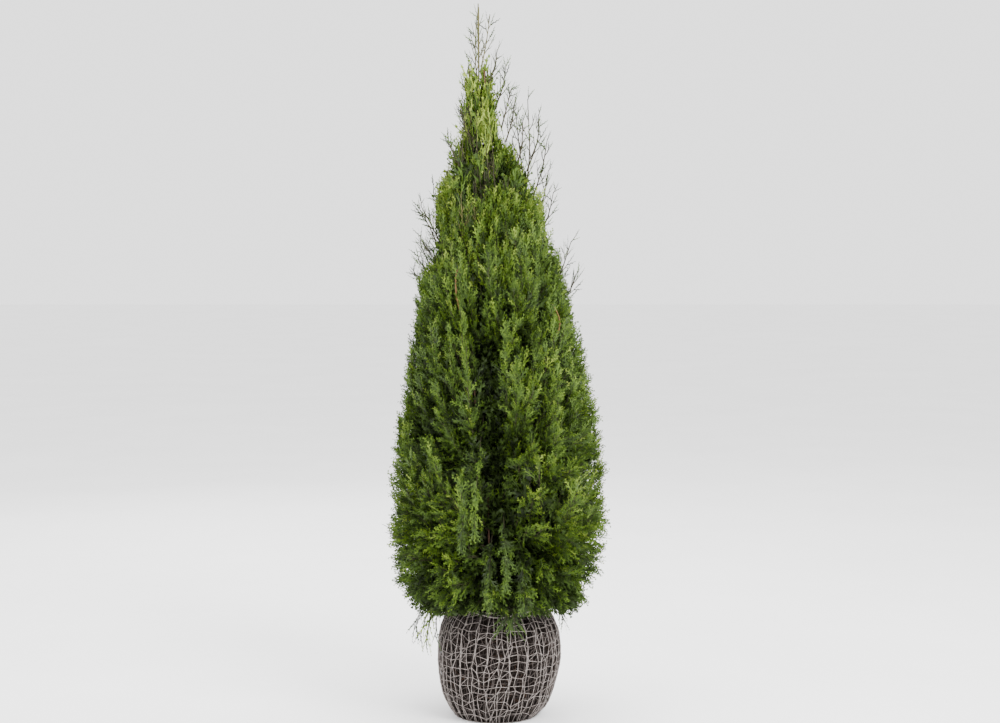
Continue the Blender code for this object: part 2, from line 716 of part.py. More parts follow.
def keep_main_body(mesh):
    """Drops every loose scrap, and fills a sealed hollow by dropping the skin that lines it."""
    shape = bmesh.new()
    shape.from_mesh(mesh)
    left = set(shape.verts)
    bodies = []
    while left:
        body, edge = set(), [left.pop()]
        while edge:
            vertex = edge.pop()
            body.add(vertex)
            for link in vertex.link_edges:
                other = link.other_vert(vertex)
                if other in left:
                    left.remove(other)
                    edge.append(other)
        bodies.append(body)
    main = max(bodies, key=len)
    bmesh.ops.delete(shape, geom=[v for v in shape.verts if v not in main], context="VERTS")
    bmesh.ops.dissolve_limit(
        shape,
        angle_limit=FLAT_ANGLE,
        verts=shape.verts,
        edges=shape.edges,
        use_dissolve_boundaries=False,
        delimit=set(),
    )
    bmesh.ops.triangulate(shape, faces=shape.faces)
    shape.to_mesh(mesh)
    shape.free()


def bough(space, way_in, home, cutter):
    """The limb from the trunk to its plume, cut clear of the trunk."""
    thin = STEM_SHARE * space.tier.limb
    radii = [blend(space.tier.limb, thin, k / (len(way_in) - 1)) for k in range(len(way_in))]
    made = limb(f"bough_{space.name}", way_in, radii, home, BARK, 1)
    cut = made.modifiers.new("clear_of_trunk", "BOOLEAN")
    cut.operation = "DIFFERENCE"
    cut.object = cutter


def foliage(space, stem, home):
    """A plume as one solid: its stem, core, twigs and fans in one union."""
    rng = draw(space.name)
    thick = STEM_SHARE * space.tier.limb
    radii = [blend(thick, STEM_TIP_RADIUS, k / (len(stem) - 1)) for k in range(len(stem))]
    body = limb(f"foliage_{space.name}", stem, radii, home, None, 0)
    bits = collection("bits")
    core("core", space, bits)
    grown = sprays(space, stem, rng, bits)
    bare_shoots(space, stem, rng, bits)
    if space.tier is TIERS[0] and space.polar(hanging_ends()[0])[2] > CLEARANCE:
        hanging_spray(stem, bits)
    join = body.modifiers.new("join", "BOOLEAN")
    join.operation = "UNION"
    join.operand_type = "COLLECTION"
    join.collection = bits
    join.solver = "MANIFOLD"
    mesh = evaluated_mesh(body)
    body.modifiers.clear()
    for obj in list(bits.objects):
        bpy.data.objects.remove(obj)
    bpy.data.collections.remove(bits)
    keep_main_body(mesh)
    mesh.materials.clear()
    mesh.materials.append(material(*FOLIAGE[space.tier.name]))
    body.data = mesh
    print(f"{body.name}: {grown} sprays, {len(mesh.polygons)} triangles")


def plume(space, home, skin, cutter):
    """The bough and the plume at its end, as two solids. A plume of the spire has no bough."""
    if space.is_spire:
        foliage(space, spire_stem(space, skin), home)
        return
    whole = through(plume_path(space), 17)
    meet = whole[8]
    way = (whole[9] - whole[7]).normalized()
    bough(space, [whole[0], whole[3], whole[6], meet - way * 0.008, meet], home, cutter)
    foliage(space, [meet + way * GAP, meet + way * 0.008, *whole[9:]], home)


def main():
    clear_scene()
    parts, cutters = collection("garden_thuja"), collection("cutters")
    root_ball(parts)
    ball_net(parts)
    stem, cutter = trunk(parts, cutters)
    skin = BVHTree.FromObject(stem, bpy.context.evaluated_depsgraph_get())
    for tier in (*TIERS, SPIRE):
        for space in spaces_of(tier):
            plume(space, parts, skin, cutter)


main()
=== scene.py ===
# %% [markdown]
# # A thuja on its root ball
#
# A garden thuja is a cone of flat, fern-like sprays. They could be modelled one by one, or scattered
# over a cone by a particle system. The first would take for ever, and the second gives a hedge ball
# without twigs. So this script *grows* them by the rule that the plain solids follow: the crown is cut
# into tiers and sectors, each sector has a stem, twigs leave the stem for the outside of the crown, and
# sprays sit along the twigs. Everything is worked out on whole numpy arrays, and each kind of thing
# becomes a few large meshes. Units are metres, +Z is up, and an azimuth is counted anticlockwise from +X.

import math
import random
from collections import namedtuple

import bpy
import numpy as np
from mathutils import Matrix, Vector


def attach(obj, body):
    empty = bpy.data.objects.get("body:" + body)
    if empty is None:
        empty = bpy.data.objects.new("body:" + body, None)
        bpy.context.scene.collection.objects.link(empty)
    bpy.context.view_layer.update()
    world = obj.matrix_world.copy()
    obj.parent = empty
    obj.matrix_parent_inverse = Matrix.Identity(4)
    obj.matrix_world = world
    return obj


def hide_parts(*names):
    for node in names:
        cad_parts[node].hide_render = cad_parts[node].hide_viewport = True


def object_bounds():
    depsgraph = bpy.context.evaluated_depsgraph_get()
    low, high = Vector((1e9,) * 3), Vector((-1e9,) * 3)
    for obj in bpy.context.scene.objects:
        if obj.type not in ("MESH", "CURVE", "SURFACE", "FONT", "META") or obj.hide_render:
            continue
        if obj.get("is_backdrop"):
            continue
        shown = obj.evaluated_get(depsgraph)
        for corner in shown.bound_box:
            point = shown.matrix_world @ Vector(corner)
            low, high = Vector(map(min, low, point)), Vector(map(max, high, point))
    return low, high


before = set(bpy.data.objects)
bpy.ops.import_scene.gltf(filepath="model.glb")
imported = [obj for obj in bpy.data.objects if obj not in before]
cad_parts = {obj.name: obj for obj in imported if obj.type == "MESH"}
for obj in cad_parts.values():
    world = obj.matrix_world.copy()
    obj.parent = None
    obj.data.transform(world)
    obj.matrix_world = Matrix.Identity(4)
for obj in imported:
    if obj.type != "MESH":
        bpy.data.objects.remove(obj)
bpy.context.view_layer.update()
print("solids in the frame:", len(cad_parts))

# %% [markdown]
# ## Driving dimensions
#
# These are the named sizes that shape the plain solids: the root ball, the trunk, the outline of the
# crown and the cones that cut it into tiers. They could be measured off the solids instead, but a leaf
# has to find the surface between their corners too, and only the formulas give that.

# %% Sizes of the ball and the trunk
TOTAL_HEIGHT = 2.03  # underside of the ball to the tip of the leader
SEED = 14

BALL_RADIUS = 0.171  # of the soil, at its equator
BALL_EQUATOR = 0.186  # height of its widest ring
BALL_LOWER_HALF = 0.245
BALL_UPPER_HALF = 0.165
BALL_SHOULDER = 2.5  # power of the squarer ellipse above the equator
BALL_LEAN = 0.011
BALL_LUMP = 0.018
SEAT_RADIUS = 0.036  # of the flat that the trunk stands on

TRUNK_RADIUS = 0.0185
TRUNK_TIP_RADIUS = 0.0016
TRUNK_FLARE = 0.010
TRUNK_FLARE_HEIGHT = 0.028
TRUNK_TIP_X = -0.0455
TRUNK_STRAIGHT = 1.70
TRUNK_LATE_LEAN = 1.6
TRUNK_SWAY = 0.005

BALL_TOP = BALL_EQUATOR + BALL_UPPER_HALF * (
    1 - (SEAT_RADIUS / BALL_RADIUS) ** BALL_SHOULDER
) ** (1 / BALL_SHOULDER)
UP = np.array([0.0, 0.0, 1.0])
print("top of the ball:", round(BALL_TOP, 4))

# %% Sizes of the crown
# Reach of the foliage from the trunk's axis, as (height, radius).
CROWN_PROFILE = (
    (0.285, 0.215),
    (0.330, 0.250),
    (0.400, 0.282),
    (0.500, 0.302),
    (0.600, 0.315),
    (0.740, 0.300),
    (0.900, 0.275),
    (1.050, 0.248),
    (1.200, 0.214),
    (1.320, 0.184),
    (1.420, 0.144),
    (1.520, 0.110),
    (1.620, 0.076),
    (1.720, 0.054),
    (1.900, 0.030),
)
LEADER_BULGE, LEADER_BULGE_HEIGHT, LEADER_BULGE_SPAN = 0.070, 1.46, 0.10
FOLD_DEPTH, FOLD_AZIMUTH, FOLD_WIDTH = 0.22, math.radians(-90), math.radians(13)
FOLD_HEIGHT, FOLD_SPAN = 0.84, 0.26
# Reach of the leafless heart of the crown, as (height, radius).
HOLLOW_PROFILE = ((0.30, 0.105), (0.60, 0.085), (0.90, 0.062), (1.20, 0.040), (1.45, 0.024))
SWIRL = 0.42  # how far a sector turns from the trunk to the outside
BOUGH_INSET = 0.008
STEM_SHARE = 0.55  # of the radius of a bough
STEM_TIP_RADIUS = 0.0016
SPIRE_FOOT_STEP = 0.018
FOOT_STAGGER = 0.055
SECTOR_JITTER = 0.16
LOWEST_ROW, HIGHEST_ROW = 0.07, 0.93
print("widest reach of the crown:", max(radius for _, radius in CROWN_PROFILE))

# %% Tiers of the crown
# A cone between two tiers: its height at the axis, its rise for each metre outwards, and its waves.
Cone = namedtuple("Cone", "height rise wave turn")
CONE_WAVES = 3
# A tier: how many spaces, azimuth of the first one's edge, the cones below and above it, where its
# boughs leave the trunk and enter the leaves, their radius, rows and columns of plumes in a space, and
# the length of a plume.
Tier = namedtuple("Tier", "name plumes first floor ceiling foot entry limb rows columns fan")
CONES = (
    Cone(0.392, -0.34, 0.00, 0.0),
    Cone(0.500, 0.95, 0.20, 0.4),
    Cone(0.880, 0.95, 0.20, 2.3),
    Cone(1.250, 0.95, 0.22, 4.6),
    Cone(1.500, 0.70, 0.30, 0.9),
    Cone(1.880, 0.00, 0.00, 0.0),
)
TIERS = (
    Tier("skirt", 6, -80, CONES[0], CONES[1], 0.385, 0.48, 0.0074, 6, 5, 0.155),
    Tier("middle", 6, -90, CONES[1], CONES[2], 0.53, 0.76, 0.0070, 6, 5, 0.155),
    Tier("upper", 5, -98, CONES[2], CONES[3], 0.80, 1.08, 0.0058, 6, 6, 0.150),
    Tier("leader", 3, -60, CONES[3], CONES[4], 1.17, 1.39, 0.0048, 6, 6, 0.125),
    Tier("spire", 3, 0, CONES[4], CONES[5], 1.54, 1.58, 0.0034, 7, 3, 0.085),
)
print("tiers:", [tier.name for tier in TIERS])

# %% [markdown]
# ## The camera and the light
#
# A plant for sale is shown in a plain, light studio. The camera stands five metres back, a little above
# the middle of the plant, with a short telephoto lens: a wide lens close by would swell the middle of
# the crown. A sun lamp would draw one hard shadow, so the light comes from large soft boxes, the
# brightest one high on the right, and from a white sky that fills the shadows.

# %% Camera
CAMERA_PLACE = (0.014, -5.0, 1.38)
CAMERA_AIM = (0.014, 0.0, 1.02)
CAMERA_LENS = 63.2  # millimetres, on a sensor 36 mm wide
SENSOR_WIDTH = 36


def aimed(made, place, aim):
    """Puts a camera or a lamp at a place, turns its own -Z to the aim, and links it."""
    made.location = place
    made.rotation_euler = (Vector(aim) - made.location).to_track_quat("-Z", "Y").to_euler()
    bpy.context.scene.collection.objects.link(made)


def make_camera():
    """A camera with a set lens, made the one that the scene is seen through."""
    data = bpy.data.cameras.new("camera")
    data.lens = CAMERA_LENS
    data.sensor_width = SENSOR_WIDTH
    made = bpy.data.objects.new("camera", data)
    aimed(made, CAMERA_PLACE, CAMERA_AIM)
    bpy.context.scene.camera = made
    return made


camera = make_camera()
print("camera at", tuple(round(c, 3) for c in camera.location))

# %% Lights and sky
LIGHTS = (  # name, place, width, power in watts
    ("key", (2.6, -3.0, 3.9), 2.2, 380),
    ("fill", (-3.4, -2.6, 2.4), 3.0, 90),
    ("top", (0.0, 0.6, 4.6), 3.0, 240),
    ("back", (-1.6, 3.6, 2.6), 2.6, 80),
)
LIGHT_AIM = (0.0, 0.0, 0.9)
SKY_STRENGTH = 2.2


def make_light(name, place, width, power):
    """A square soft box of a width in metres, aimed at the middle of the plant."""
    data = bpy.data.lights.new(name, "AREA")
    data.size = width
    data.energy = power
    aimed(bpy.data.objects.new(name, data), place, LIGHT_AIM)


def make_sky():
    """An even white sky."""
    world = bpy.data.worlds.new("sky")
    world.use_nodes = True
    background = world.node_tree.nodes["Background"]
    background.inputs["Color"].default_value = (1, 1, 1, 1)
    background.inputs["Strength"].default_value = SKY_STRENGTH
    bpy.context.scene.world = world


for light in LIGHTS:
    make_light(*light)
make_sky()
print("lamps:", len(LIGHTS))

# %% [markdown]
# ## Small tools on arrays
#
# `hermite` reads a smooth curve through a table of (height, value) pairs, and `through` draws one
# through points in space. `lattice_noise` is the classic value noise: random numbers sit on the corners
# of a grid and are blended in between. Blender's own noise takes one point at a time, and a plant asks
# for it at a hundred thousand of them. Worked out on whole arrays, that takes a blink.


# %% Curves
def ease(share):
    """3s^2 - 2s^3, with s kept between 0 and 1."""
    share = np.clip(share, 0.0, 1.0)
    return share * share * (3 - 2 * share)


def blend(low, high, share):
    """low at share 0, high at share 1, and a straight line between them."""
    return low + (high - low) * share


def hermite(profile, height):
    """A smooth reading of (height, value) pairs.

    Between two pairs the curve is a cubic whose slope at each is that of the chord between the
    pairs on either side of it.
    """
    heights, values = np.array(profile).T
    height = np.clip(height, heights[0], heights[-1])
    i = np.clip(np.searchsorted(heights, height, side="right") - 1, 0, len(heights) - 2)
    before, after = np.maximum(i - 1, 0), np.minimum(i + 2, len(heights) - 1)
    slope0 = (values[i + 1] - values[before]) / (heights[i + 1] - heights[before])
    slope1 = (values[after] - values[i]) / (heights[after] - heights[i])
    span = heights[i + 1] - heights[i]
    t = (height - heights[i]) / span
    rise = t**3 - 2 * t**2 + t
    fall = t**3 - t**2
    turn = 3 * t**2 - 2 * t**3
    return blend(values[i], values[i + 1], turn) + span * (rise * slope0 + fall * slope1)


def through(points, count):
    """count points on a Catmull-Rom curve through the given ones."""
    points = np.asarray(points, float)
    ends = np.vstack([2 * points[0] - points[1], points, 2 * points[-1] - points[-2]])
    u = np.linspace(0, len(points) - 1, count)
    i = np.minimum(u.astype(int), len(points) - 2)
    t = (u - i)[:, None]
    p0, p1, p2, p3 = ends[i], ends[i + 1], ends[i + 2], ends[i + 3]
    square = (2 * p0 - 5 * p1 + 4 * p2 - p3) * t**2
    return 0.5 * (2 * p1 + (p2 - p0) * t + square + (3 * p1 - p0 - 3 * p2 + p3) * t**3)


def unit(vectors):
    """Vectors made one long."""
    return vectors / np.maximum(np.linalg.norm(vectors, axis=-1, keepdims=True), 1e-12)


print("reach of the crown at one metre:", round(float(hermite(CROWN_PROFILE, 1.0)), 4))


# %% Noise
def lattice_noise(points, seed=0):
    """Smooth noise from -1 to 1: hashed numbers on a unit grid, blended with eased weights."""
    cell = np.floor(points).astype(np.int64)
    part = ease(points - cell)
    total = np.zeros(points.shape[:-1])
    for corner in np.ndindex(2, 2, 2):
        x, y, z = np.moveaxis(cell + corner, -1, 0)
        mixed = (x * 73856093) ^ (y * 19349663) ^ (z * 83492791) ^ (seed * 2654435761 + 97)
        mixed = (mixed ^ (mixed >> 13)) * 1274126177 & 0xFFFFFFFF
        value = ((mixed ^ (mixed >> 16)) & 0xFFFF) / 32767.5 - 1
        weight = np.prod(np.where(corner, part, 1 - part), axis=-1)
        total += value * weight
    return total


def fractal_noise(points, octaves, seed=0):
    """Octaves of lattice noise, each twice as fine and half as strong as the last."""
    layers = [lattice_noise(points * 2**k, seed + k) / 2**k for k in range(octaves)]
    return sum(layers) / (2 - 0.5 ** (octaves - 1))


sample = fractal_noise(np.arange(3000.0).reshape(-1, 3) * 0.37, 3)
print("noise runs from", round(float(sample.min()), 2), "to", round(float(sample.max()), 2))

# %% [markdown]
# ## Meshes from arrays
#
# A twig could be a curve with a bevel, and a spray an object of its own, but tens of thousands of
# objects would bring Blender to its knees. A `Pile` collects pieces of geometry as arrays and turns
# them into one mesh at the end, in a few fast calls. `tubes` sweeps a ring of points along many paths
# at once: trunk, twigs, roots and the strings of the net are all made with it.


# %% Piles
class Pile:
    """Vertices and equal-sided faces that will become one object."""

    def __init__(self):
        self.points, self.faces, self.count = [], [], 0

    def add(self, points, faces):
        points = np.asarray(points, float).reshape(-1, 3)
        self.points.append(points)
        self.faces += [np.asarray(group) + self.count for group in faces if len(group)]
        self.count += len(points)

    def triangles(self):
        return sum(len(group) * (group.shape[1] - 2) for group in self.faces)

    def object(self, name, smooth):
        mesh = bpy.data.meshes.new(name)
        points = np.concatenate(self.points)
        corners = np.concatenate([group.ravel() for group in self.faces])
        sizes = np.concatenate([np.full(len(g), g.shape[1]) for g in self.faces])
        mesh.vertices.add(len(points))
        mesh.vertices.foreach_set("co", points.astype(np.float32).ravel())
        mesh.loops.add(len(corners))
        mesh.loops.foreach_set("vertex_index", corners.astype(np.int32))
        mesh.polygons.add(len(sizes))
        mesh.polygons.foreach_set("loop_start", np.concatenate([[0], np.cumsum(sizes)[:-1]]))
        mesh.polygons.foreach_set("use_smooth", np.full(len(sizes), smooth))
        mesh.update(calc_edges=True)
        made = bpy.data.objects.new(name, mesh)
        bpy.context.scene.collection.objects.link(made)
        return made


def dress(made, material, slot, *nodes):
    """Gives a finished piece its material, hangs it on the root and hides the solids it stands for; slot is
    not used.
    """
    made.data.materials.append(material)
    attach(made, "root")
    if nodes:
        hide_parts(*nodes)


# %% Tubes
def tubes(paths, radii, sides, relief=0.0, closed=False):
    """Round tubes along n paths of k points each, as points and groups of faces.

    A ring at a point p is p + r (cos a u + sin a v), with u and v square to the path. relief is
    added to r and may differ at every point of every ring. A closed path joins end to start.
    """
    paths = np.asarray(paths, float)
    n, k, _ = paths.shape
    if closed:
        tangents = unit(np.roll(paths, -1, axis=1) - np.roll(paths, 1, axis=1))
    else:
        tangents = unit(np.gradient(paths, axis=1))
    mean = unit(tangents.mean(axis=1) + 1e-9)
    spare = np.eye(3)[np.argmin(np.abs(mean), axis=1)][:, None, :]
    if closed:
        spare = np.broadcast_to(UP, (n, 1, 3))
    u = unit(np.cross(tangents, spare))
    v = np.cross(tangents, u)
    turns = np.linspace(0, 2 * math.pi, sides, endpoint=False)
    reach = (np.broadcast_to(radii, (n, k))[..., None] + relief)[..., None]
    ring = np.cos(turns)[:, None] * u[:, :, None, :] + np.sin(turns)[:, None] * v[:, :, None, :]
    points = paths[:, :, None, :] + reach * ring
    index = np.arange(n * k * sides).reshape(n, k, sides)
    after = np.roll(index, -1, axis=2)
    if closed:
        low, high = index, np.roll(index, -1, axis=1)
        low_after, high_after = after, np.roll(after, -1, axis=1)
    else:
        low, high = index[:, :-1], index[:, 1:]
        low_after, high_after = after[:, :-1], after[:, 1:]
    faces = [np.stack([low, low_after, high_after, high], axis=-1).reshape(-1, 4)]
    if not closed:
        for step in range(1, sides - 1):
            faces.append(np.stack([index[:, 0, 0], index[:, 0, step + 1], index[:, 0, step]], axis=-1))
            faces.append(np.stack([index[:, -1, 0], index[:, -1, step], index[:, -1, step + 1]], axis=-1))
    return points, faces


trial = Pile()
trial.add(*tubes([[(0, 0, 0), (0, 0, 1)]], 0.1, 6))
print("triangles in a six-sided peg:", trial.triangles())


# %% [markdown]
# ## The root ball and the trunk
#
# The ball is cut out of the field with a spade, so it is round, a little lumpy, and flat where it
# stands. A sculpted sphere would look much the same, but the soil, the roots and the net all have to
# lie on the same skin, and a formula gives each of them any point of it. The trunk needs two readings
# more: where its axis runs, and how thick it is.


# %% The root ball and the trunk
def ball_radius(height):
    """An ellipse below the equator, a squarer one above it."""
    rise = np.asarray(height) - BALL_EQUATOR
    low = np.sqrt(np.clip(1 - (rise / BALL_LOWER_HALF) ** 2, 0, 1))
    high = np.clip(1 - np.clip(rise / BALL_UPPER_HALF, 0, 1) ** BALL_SHOULDER, 0, 1)
    return BALL_RADIUS * np.where(rise < 0, low, high ** (1 / BALL_SHOULDER))


def ball_lump(azimuth, height):
    """1 plus two slanting waves round the ball, which fade out at its foot and its top."""
    fade = np.sin(math.pi * np.clip(height / BALL_TOP, 0, 1))
    wave = np.sin(2 * azimuth + 0.6 + 9 * height) + 0.7 * np.sin(3 * azimuth - 1.9 - 14 * height)
    return 1 + BALL_LUMP * fade * wave / 1.7


def ball_point(azimuth, height):
    """A point of the soil's skin: its radius times its lump, out from an axis that leans to +X."""
    radius = ball_radius(height) * ball_lump(azimuth, height)
    x = BALL_LEAN * ease(height / BALL_EQUATOR) + radius * np.cos(azimuth)
    return np.stack([x, radius * np.sin(azimuth), height], axis=-1)


def trunk_axis(height):
    """Centre of the trunk at a height: a slow lean to -X with a little sway."""
    height = np.asarray(height, float)
    share = (height - BALL_TOP) / (TRUNK_STRAIGHT - BALL_TOP)
    x = blend(BALL_LEAN, TRUNK_TIP_X, ease(np.maximum(share, 0) ** TRUNK_LATE_LEAN))
    sway = TRUNK_SWAY * ease(share * 4) * np.sin(2 * math.pi * 2.3 * share)
    return np.stack([x + sway * 0.5, sway, height], axis=-1)


def trunk_radius(height):
    """A taper to the power 0.85, and a flare that dies away above the soil."""
    share = np.clip((height - BALL_TOP) / (TOTAL_HEIGHT - BALL_TOP), 0, 1)
    flare = TRUNK_FLARE * np.exp(-np.maximum(height - BALL_TOP, 0) / TRUNK_FLARE_HEIGHT)
    return blend(TRUNK_RADIUS, TRUNK_TIP_RADIUS, share**0.85) + flare


print("trunk radius at the soil:", round(float(trunk_radius(BALL_TOP)), 4))

# %% [markdown]
# ## The outline of the crown
#
# The outline of a thuja isn't a clean cone: one shoulder stands out, another is bare, a deep fold runs
# down the front, and the top is ragged. Such an outline could be painted as weights on a cone. Here it
# is a profile turned round the trunk, with a short table of places where the leaves trim it, because
# every leaf has to ask how far the crown reaches where it grows.

# %% The outline of the crown
TRIMS = (  # side (-1 left, 1 right, 0 all round), height, span, power of the fade, change of the reach
    (-1, 1.050, 0.420, 4, -0.060),
    (-1, 0.520, 0.140, 2, 0.040),
    (1, 0.360, 0.070, 2, -0.055),
    (1, 0.580, 0.120, 2, 0.012),
    (-1, 1.365, 0.070, 4, -0.340),
    (1, 1.280, 0.050, 2, 0.050),
    (1, 1.440, 0.080, 2, -0.170),
    (0, 1.700, 0.060, 4, -0.240),
    (1, 1.735, 0.060, 2, -0.220),
)
POINT_FOOT, POINT_SPAN, POINT_TRIM = 1.76, 0.14, 0.50  # where the spire draws in to a point
RAGGED_FOOT, RAGGED_SPAN, RAGGED = 1.36, 0.16, 0.20  # where its outline turns ragged


def outwards(azimuth):
    """The level way out at an azimuth."""
    return np.stack([np.cos(azimuth), np.sin(azimuth), np.zeros_like(azimuth)], axis=-1)


def turn_between(start, end):
    """The shorter turn from one azimuth to another, from -pi to pi."""
    return (end - start + math.pi) % (2 * math.pi) - math.pi


def crown_reach(azimuth, height):
    """The solids' reach: (profile + bulge on the right) (1 - fold down the front)."""
    bump = np.exp(-(((height - LEADER_BULGE_HEIGHT) / LEADER_BULGE_SPAN) ** 2))
    side = np.maximum(np.cos(azimuth), 0) ** 2
    off_fold = turn_between(FOLD_AZIMUTH, azimuth) / FOLD_WIDTH
    fold = np.exp(-(off_fold**2) - ((height - FOLD_HEIGHT) / FOLD_SPAN) ** 4)
    return (hermite(CROWN_PROFILE, height) + LEADER_BULGE * bump * side) * (1 - FOLD_DEPTH * fold)


def leaf_reach(azimuth, height):
    """The leaves' reach: the solids' reach, times 1 plus the trims, the spire's point and its raggedness.

    A trim is change x share x e^-(((height - middle) / span)^power), where its share is the cosine
    to the side it lies on, or 1 all round.
    """
    change = 0.0
    for side, middle, span, power, trim in TRIMS:
        share = np.maximum(side * np.cos(azimuth), 0) if side else 1.0
        change = change + trim * share * np.exp(-(((height - middle) / span) ** power))
    change = change - POINT_TRIM * ease((height - POINT_FOOT) / POINT_SPAN)
    place = np.stack([1.6 * np.cos(azimuth), 1.6 * np.sin(azimuth), height * 11], axis=-1)
    change += RAGGED * lattice_noise(place, 77) * ease((height - RAGGED_FOOT) / RAGGED_SPAN)
    return crown_reach(azimuth, height) * (1 + change)


def crown_point(azimuth, radius, height):
    """The point at a radius out from the trunk's axis."""
    return trunk_axis(height) + np.asarray(radius)[..., None] * outwards(azimuth)


def polar(points):
    """Azimuth and radius of points about the trunk."""
    offset = points - trunk_axis(points[..., 2])
    return np.arctan2(offset[..., 1], offset[..., 0]), np.hypot(offset[..., 0], offset[..., 1])


print("reach of the leaves on the right:", leaf_reach(np.zeros(3), np.array([0.6, 1.2, 1.8])).round(3))

# %% [markdown]
# ## Spaces
#
# A bough fills its own share of the crown and leaves the rest to its neighbours. So each tier is cut
# into sectors, like slices of a ring cake that swirl a little. A loose cloud of leaves would be easier
# to make, but it would have none of the dark seams between the masses of foliage.


# %% Spaces
class Space:
    """The share of the crown that one bough fills: a sector of one tier."""

    def __init__(self, tier, number, start, end):
        self.tier, self.number, self.start, self.end = tier, number, start, end
        self.name = f"{tier.name}_{number}"
        self.azimuth = (start + end) / 2

    def height(self, azimuth, radius, lift):
        """The height that is lift of the way from the space's floor to its ceiling."""
        floor, ceiling = (
            cone.height + radius * (cone.rise + cone.wave * np.sin(CONE_WAVES * azimuth + cone.turn))
            for cone in (self.tier.floor, self.tier.ceiling)
        )
        return blend(floor, ceiling, lift)

    def at(self, across, lift, share):
        """The point at a share of the space's width, of its height and of the crown's reach.

        Height and swirl each depend on the other, so the point is found by going round a few times.
        """
        across, lift, share = np.broadcast_arrays(across, lift, share)
        middle = blend(self.start, self.end, across)
        azimuth, height = middle, self.height(middle, 0.1, lift)
        for _ in range(12):
            reach = crown_reach(azimuth, height)
            azimuth = middle + SWIRL * (1 - share * reach / hermite(CROWN_PROFILE, height))
            height = self.height(azimuth, share * reach, lift)
        height = np.maximum(height, CROWN_PROFILE[0][0])
        return crown_point(azimuth, share * reach, height)


def spaces_of(tier):
    """The sectors of a tier. All their edges but the first are nudged, and the spire's are even."""
    rng = random.Random(f"{SEED} {tier.name}")
    width = 2 * math.pi / tier.plumes
    jitter = SECTOR_JITTER * width * (tier.name != "spire")
    edges = [math.radians(tier.first) + k * width for k in range(tier.plumes)]
    edges = [edges[0]] + [e + rng.uniform(-1, 1) * jitter for e in edges[1:]]
    edges.append(edges[0] + 2 * math.pi)
    return [Space(tier, k + 1, edges[k], edges[k + 1]) for k in range(tier.plumes)]


SPACES = [space for tier in TIERS for space in spaces_of(tier)]
print("spaces in the crown:", len(SPACES))

# %% [markdown]
# ## Limbs
#
# A bough leaves the trunk low down, climbs to its space and goes on inside it as a stem. Bough and stem
# could be two tubes that meet, but a seam would show where the leaves are thin. So they are one limb
# here, from the trunk's heart to the thin end of the stem, on a curve through a few points.


# %% Limbs
STEM_POINTS, LIMB_POINTS = 12, 25
ENTRY = LIMB_POINTS // 2  # number of the point where a bough enters the leaves


def limb_path(space):
    """Points and radii along a bough and its stem, and the number of the first point of the stem."""
    tier = space.tier
    inner = [space.at(0.5, 0.45, 0.60), space.at(0.5, 0.90, 0.66)]
    if tier.name == "spire":
        foot = trunk_axis(tier.foot + SPIRE_FOOT_STEP * space.number)
        points = through([foot, *inner], STEM_POINTS)
        return points, np.linspace(STEM_SHARE * tier.limb, STEM_TIP_RADIUS, STEM_POINTS), 2
    azimuth = np.array(space.azimuth)
    foot_height = tier.foot + FOOT_STAGGER * (2 * space.number % tier.plumes) / tier.plumes
    entry_radius = hermite(HOLLOW_PROFILE, tier.entry) + BOUGH_INSET
    knee_radius = trunk_radius(tier.foot) + 0.35 * entry_radius
    foot = trunk_axis(foot_height)
    knee = crown_point(azimuth, knee_radius, blend(foot_height, tier.entry, 0.45))
    entry = crown_point(azimuth, entry_radius, tier.entry)
    points = through([foot, knee, entry, *inner], LIMB_POINTS)
    thicknesses = [tier.limb, STEM_SHARE * tier.limb, STEM_TIP_RADIUS]
    radii = np.interp(np.arange(LIMB_POINTS), [0, ENTRY, LIMB_POINTS - 1], thicknesses)
    return points, radii, ENTRY


LIMBS = {space.name: limb_path(space) for space in SPACES}
print("limbs:", len(LIMBS))

# %% [markdown]
# ## One spray
#
# A real spray is a flat frond: a midrib with branchlets turn and turn about, each clad in scale leaves
# too small to see from a step away. It could be a card with a cut-out image of a leaf on it, but a card
# shows its straight edges and looks flat from the side. Here a spray is some twenty triangles: each
# branchlet is a narrow kite, folded along its length so that light plays on it, with a pointed lobe
# beside it. The outer half is the young growth, and it is kept apart to be given a paler green.


# %% Kites and lobes
def kite(foot, knee, tip, width):
    """A narrow kite near the XY plane, widest at its knee and folded from foot to tip."""
    way = unit(tip - foot)
    across = np.array([-way[1], way[0], 0.0]) * width / 2
    drop = np.array([0.0, 0.0, 0.25 * width])
    return [foot, knee - across - drop, tip, knee + across - drop], [np.array([(0, 1, 2), (0, 2, 3)])]


def lobe(foot, way, length, width):
    """A pointed lobe of one face."""
    across = np.array([-way[1], way[0], 0.0]) * width / 2
    return [foot - across, foot + way * length, foot + across], [np.array([(0, 1, 2)])]


start, way = np.zeros(3), np.array([1.0, 0.0, 0.0])
print("triangles in a kite:", len(kite(start, 0.3 * way, way, 0.1)[1][0]))
print("triangles in a lobe:", len(lobe(start, way, 1.0, 0.1)[1][0]))

# %% One spray
YOUNG_BRANCHLETS, YOUNG_LOBES = 0.55, 0.45  # share of the midrib past which they are young growth


